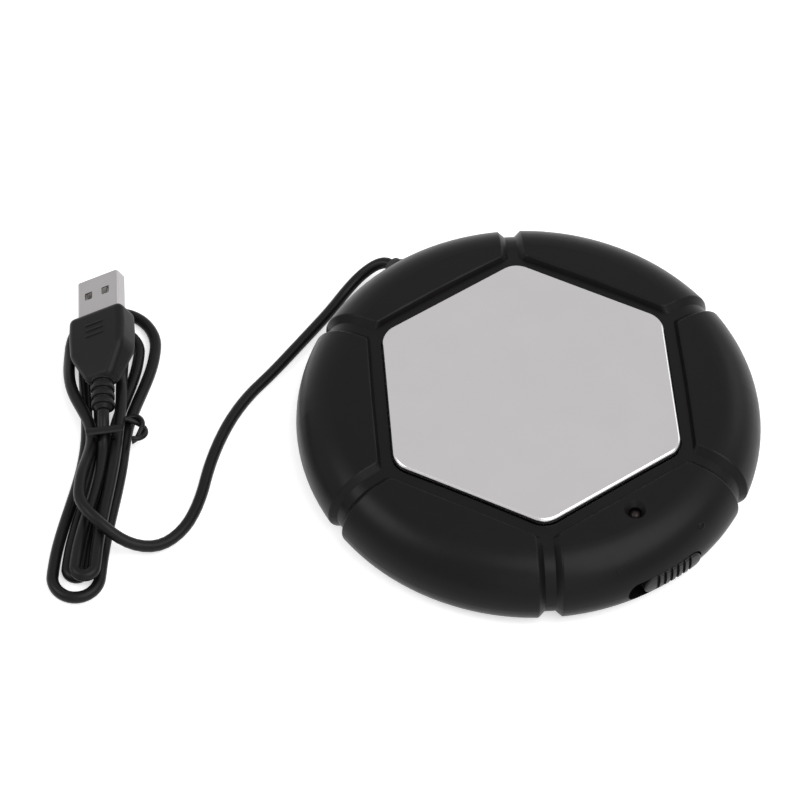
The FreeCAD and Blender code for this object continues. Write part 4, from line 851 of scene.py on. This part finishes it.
@dataclass
class TwistTie:
    """The covered-wire tie: a band round the hank's waist and its twisted, curled ends."""

    hank: Hank
    width: float = 2.2
    thickness: float = 0.8
    gap: float = 0.25
    top: float = 10.6
    corner: float = 2.4
    strand: float = 0.72
    strand_spread: float = 0.92
    tail: float = 15.0
    tail_steps: int = 60
    tail_height: float = 5.0
    slant: float = 10.0
    shift: float = -1.6
    twist: float = 430.0
    curl: float = 255.0
    sides: int = 12
    corner_steps: int = 7
    sharp_angle: float = 60.0

    def reach(self, lead_radius: float) -> float:
        """How far the inside of the band stands from the waist's middle, in millimetres."""
        return self.hank.outer_strand * self.hank.step + lead_radius + self.gap

    def make_band(self, lead_radius: float) -> bpy.types.Object:
        """The band: an oval section extruded along the sides and spun round the corners.

        Args:
            lead_radius: the radius of the strands that it holds, in millimetres.

        Returns:
            The band.
        """
        half_section = self.thickness / 2
        reach = self.reach(lead_radius) + half_section
        middle, across = self.hank.waist_u, self.hank.waist_v
        low = half_section
        Bench.clear()
        start = Vector((middle - reach + self.corner, across, low))
        bpy.ops.mesh.primitive_circle_add(vertices=self.sides, radius=half_section * MM,
                                          fill_type="NOTHING", rotation=(0.0, QUARTER_TURN, 0.0),
                                          location=start * MM)
        band = Bench.started("twist_tie_band")
        bpy.ops.object.mode_set(mode="OBJECT")
        bpy.ops.object.transform_apply(location=True, rotation=True, scale=True)
        bpy.ops.object.mode_set(mode="EDIT")
        bpy.ops.mesh.select_all(action="SELECT")
        Bench.resize((1.0, self.width / self.thickness, 1.0), start)
        flat, tall = 2 * (reach - self.corner), self.top - low - 2 * self.corner
        right, left = middle + reach - self.corner, middle - reach + self.corner
        foot, head = low + self.corner, self.top - self.corner
        runs = (((flat, 0.0, 0.0), (right, foot)), ((0.0, 0.0, tall), (right, head)),
                ((-flat, 0.0, 0.0), (left, head)), ((0.0, 0.0, -tall), (left, foot)))
        for step, centre in runs:
            Bench.extrude(step)
            bpy.ops.mesh.spin(steps=self.corner_steps, angle=QUARTER_TURN, axis=(0.0, -1.0, 0.0),
                              center=(centre[0] * MM, across * MM, centre[1] * MM))
        bpy.ops.mesh.select_all(action="SELECT")
        bpy.ops.mesh.remove_doubles(threshold=RING_WELD * MM)
        bpy.ops.object.mode_set(mode="OBJECT")
        return band

    def make_tail(self) -> bpy.types.Object:
        """The two ends, modelled as straight rods, then twisted together and curled.

        Returns:
            The ends, joined into one piece.
        """
        rods = []
        for side in (-1, 1):
            Bench.clear()
            bpy.ops.mesh.primitive_circle_add(vertices=self.sides, radius=self.strand * MM,
                                              fill_type="NGON")
            rod = Bench.started(f"tie_end_{side}")
            bpy.ops.transform.translate(value=(side * self.strand * self.strand_spread * MM, 0.0, 0.0))
            for _ in range(self.tail_steps):
                Bench.extrude((0.0, 0.0, self.tail / self.tail_steps))
            bpy.ops.mesh.select_all(action="SELECT")
            bpy.ops.mesh.normals_make_consistent(inside=False)
            rods.append(rod)
        tail = Bench.join(rods)
        for method, axis, angle in (("TWIST", "Z", self.twist), ("BEND", "X", self.curl)):
            Bench.modify(tail, "SIMPLE_DEFORM", deform_method=method, deform_axis=axis,
                         angle=math.radians(angle))
        return tail

    def build(self, paint: bpy.types.Material, lead_radius: float) -> bpy.types.Object:
        """Makes the tie and puts it round the hank.

        Args:
            paint: the tie's material.
            lead_radius: the radius of the strands that it holds, in millimetres.

        Returns:
            The tie.
        """
        band = self.make_band(lead_radius)
        tail = self.make_tail()
        side = self.hank.waist_u + self.reach(lead_radius)
        spot = Vector((side, self.hank.waist_v, self.tail_height)) * MM
        tail.data.transform(Matrix.Translation(spot) @ Matrix.Rotation(QUARTER_TURN, 4, "Y"))
        tie = Bench.join([band, tail])
        tie.name = "twist_tie_wound"
        origin = Vector((*self.hank.origin, 0.0)) * MM
        waist = Vector((self.hank.waist_u, self.hank.waist_v, 0.0)) * MM
        slanted = Matrix.Translation(waist) @ Matrix.Rotation(math.radians(self.slant), 4, "Z")
        slanted = slanted @ Matrix.Translation(Vector((0.0, self.shift * MM, 0.0)) - waist)
        place = Matrix.Translation(origin) @ Matrix.Rotation(math.radians(self.hank.turn), 4, "Z") @ slanted
        Bench.settle(tie, place, paint, self.sharp_angle)
        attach(tie, "housing")
        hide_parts("twist_tie")
        return tie


@dataclass
class SwitchMarks:
    """Two small raised marks beside the slot: a bar for on and a ring for off."""

    bar_spot: tuple[float, float] = (-12.4, -54.1)
    ring_spot: tuple[float, float] = (12.7, -54.1)
    ring_radius: float = 0.8
    ring_steps: tuple[int, int] = (40, 10)
    ring_height: float = 0.8
    line: float = 0.23
    bar_length: float = 1.7
    bar_height: float = 1.6
    bar_edge: float = 0.7
    ray_start: float = 60.0

    def stand(self, cover: bpy.types.Object, spot: tuple[float, float]) -> Matrix:
        """A frame on the cover's surface, with Z along its normal.

        Args:
            cover: the cover's object.
            spot: X and Y of the spot in millimetres.

        Returns:
            The frame.
        """
        above = Vector((*spot, self.ray_start)) * MM
        hit, place, normal, _ = cover.ray_cast(above, Vector((0.0, 0.0, -1.0)))
        if not hit:
            raise RuntimeError("the mark's spot is off the cover")
        side = Vector((1.0, 0.0, 0.0)).cross(normal).normalized()
        across = normal.cross(side)
        return Matrix.Translation(place) @ Matrix((-across, -side, normal)).transposed().to_4x4()

    def build(self, cover: bpy.types.Object, paint: bpy.types.Material) -> None:
        """Makes the two marks on the cover.

        Args:
            cover: the cover's object.
            paint: the cover's material.
        """
        Bench.clear()
        around, across = self.ring_steps
        bpy.ops.mesh.primitive_torus_add(major_radius=self.ring_radius * MM, minor_radius=self.line * MM,
                                         major_segments=around, minor_segments=across)
        ring = Bench.started("switch_mark_off")
        Bench.resize((1.0, 1.0, self.ring_height), (0.0, 0.0, 0.0))
        bar_size = (self.line * 2, self.bar_length, self.line * self.bar_height)
        bar = Bench.block("switch_mark_on", bar_size, (0.0, 0.0, 0.0))
        bpy.ops.mesh.bevel(offset=self.line * self.bar_edge * MM, segments=EDGE_STEPS, affect="EDGES")
        for mark, spot in ((ring, self.ring_spot), (bar, self.bar_spot)):
            Bench.settle(mark, self.stand(cover, spot), paint)
            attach(mark, "housing")


@dataclass(frozen=True)
class Lamp:
    """A square soft lamp: where it hangs and the length of its side in metres, and its power in watts."""

    name: str
    place: Triple
    size: float
    power: float

    def hang(self) -> None:
        """Makes the lamp and points it at the object."""
        data = bpy.data.lights.new(self.name, "AREA")
        data.shape = "SQUARE"
        data.size = self.size
        data.energy = self.power
        lamp = bpy.data.objects.new(self.name, data)
        bpy.context.scene.collection.objects.link(lamp)
        lamp.location = self.place
        lamp.rotation_euler = (-Vector(self.place)).to_track_quat("-Z", "Y").to_euler()


@dataclass
class Studio:
    """The floor, the surround, the lamps and the camera."""

    target: Triple = (-28.773, 15.056, 20.0)
    distance: float = 850.87
    azimuth: float = -34.807
    elevation: float = 52.657
    roll: float = 0.721
    focal_pixels: float = 3442.9
    floor_size: float = 6.0
    floor_tone: float = 0.8
    floor_roughness: float = 0.9
    floor_glow: float = 0.55
    surround_light: float = 0.35
    lamps: tuple[Lamp, ...] = (
        Lamp("key", (-0.9, 0.5, 1.1), 0.7, 6.0),
        Lamp("top", (0.25, -0.55, 1.1), 1.1, 12.0),
        Lamp("front", (-0.5, -1.2, 0.6), 1.1, 2.6),
        Lamp("right", (1.2, 0.1, 0.6), 0.5, 1.2),
    )

    def build(self) -> None:
        """Makes everything that isn't part of the object."""
        self._floor()
        self._world()
        for lamp in self.lamps:
            lamp.hang()
        self._camera()
        bpy.context.scene.view_settings.view_transform = "Standard"

    def _floor(self) -> None:
        """A pale floor that the camera sees nearly white and that keeps the shadow."""
        bpy.ops.mesh.primitive_plane_add(size=self.floor_size, location=(0.0, 0.0, 0.0))
        floor = bpy.context.object
        floor.name = "floor"
        material = bpy.data.materials.new("floor")
        material.use_nodes = True
        nodes, links = material.node_tree.nodes, material.node_tree.links
        shader = nodes["Principled BSDF"]
        shader.inputs["Base Color"].default_value = (self.floor_tone, self.floor_tone, self.floor_tone, 1.0)
        shader.inputs["Roughness"].default_value = self.floor_roughness
        shader.inputs["Specular IOR Level"].default_value = 0.0
        glow = nodes.new("ShaderNodeEmission")
        glow.inputs["Strength"].default_value = self.floor_glow
        none = nodes.new("ShaderNodeEmission")
        none.inputs["Strength"].default_value = 0.0
        choose = nodes.new("ShaderNodeMixShader")
        both = nodes.new("ShaderNodeAddShader")
        links.new(self._seen(nodes, links), choose.inputs["Fac"])
        links.new(none.outputs["Emission"], choose.inputs[1])
        links.new(glow.outputs["Emission"], choose.inputs[2])
        links.new(shader.outputs["BSDF"], both.inputs[0])
        links.new(choose.outputs["Shader"], both.inputs[1])
        links.new(both.outputs["Shader"], nodes["Material Output"].inputs["Surface"])
        floor.data.materials.append(material)

    @staticmethod
    def _seen(nodes: bpy.types.Nodes, links: bpy.types.NodeLinks) -> bpy.types.NodeSocket:
        """Tells the rays that see the studio from those that light it.

        Args:
            nodes: the nodes of the tree that asks.
            links: its links.

        Returns:
            A socket that is 1 for camera, glossy and transmission rays, and 0 for the rest.
        """
        path = nodes.new("ShaderNodeLightPath")
        first = nodes.new("ShaderNodeMath")
        first.operation = "MAXIMUM"
        second = nodes.new("ShaderNodeMath")
        second.operation = "MAXIMUM"
        links.new(path.outputs["Is Camera Ray"], first.inputs[0])
        links.new(path.outputs["Is Glossy Ray"], first.inputs[1])
        links.new(first.outputs[0], second.inputs[0])
        links.new(path.outputs["Is Transmission Ray"], second.inputs[1])
        return second.outputs[0]

    def _world(self) -> None:
        """A white surround as the camera and the gloss see it, and a softer one as light."""
        world = bpy.data.worlds.new("studio")
        bpy.context.scene.world = world
        world.use_nodes = True
        nodes, links = world.node_tree.nodes, world.node_tree.links
        background = nodes["Background"]
        background.inputs["Color"].default_value = (1.0, 1.0, 1.0, 1.0)
        strength = nodes.new("ShaderNodeMapRange")
        strength.inputs["To Min"].default_value = self.surround_light
        strength.inputs["To Max"].default_value = 1.0
        links.new(self._seen(nodes, links), strength.inputs["Value"])
        links.new(strength.outputs["Result"], background.inputs["Strength"])

    def _camera(self) -> None:
        """The camera at the photograph's angle, for a square image."""
        a, e, r = (math.radians(x) for x in (self.azimuth, self.elevation, self.roll))
        back = Vector((math.sin(a) * math.cos(e), -math.cos(a) * math.cos(e), math.sin(e)))
        right = Vector((math.cos(a), math.sin(a), 0.0))
        up = back.cross(right)
        across = right * math.cos(r) + up * math.sin(r)
        upward = up * math.cos(r) - right * math.sin(r)
        data = bpy.data.cameras.new("camera")
        data.sensor_width = SENSOR
        data.lens = self.focal_pixels / IMAGE_SIZE * SENSOR
        data.clip_start = CAMERA_NEAR
        camera = bpy.data.objects.new("camera", data)
        bpy.context.scene.collection.objects.link(camera)
        turn = Matrix((across, upward, back)).transposed().to_4x4()
        camera.matrix_world = Matrix.Translation((Vector(self.target) + back * self.distance) * MM) @ turn
        bpy.context.scene.camera = camera


def main() -> None:
    """Builds the classes in order."""
    logging.basicConfig(level=logging.INFO, format="%(name)s: %(message)s")
    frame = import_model()
    nodes = frame["nodes"]
    paints = Paints()
    Studio().build()
    lead = Lead()
    tie = TwistTie(lead.hank).build(paints.of(TIE_BLACK), lead.radius)
    plug = Plug(lead.hank).build(paints)
    lead.build(paints.of(CORD_BLACK), [nodes["cord_gland"], tie, *plug])
    SwitchMarks().build(nodes["top_cover"], paints.of(COVER_BLACK))
    Housing().dress(nodes, paints)


if __name__ == "__main__":
    main()
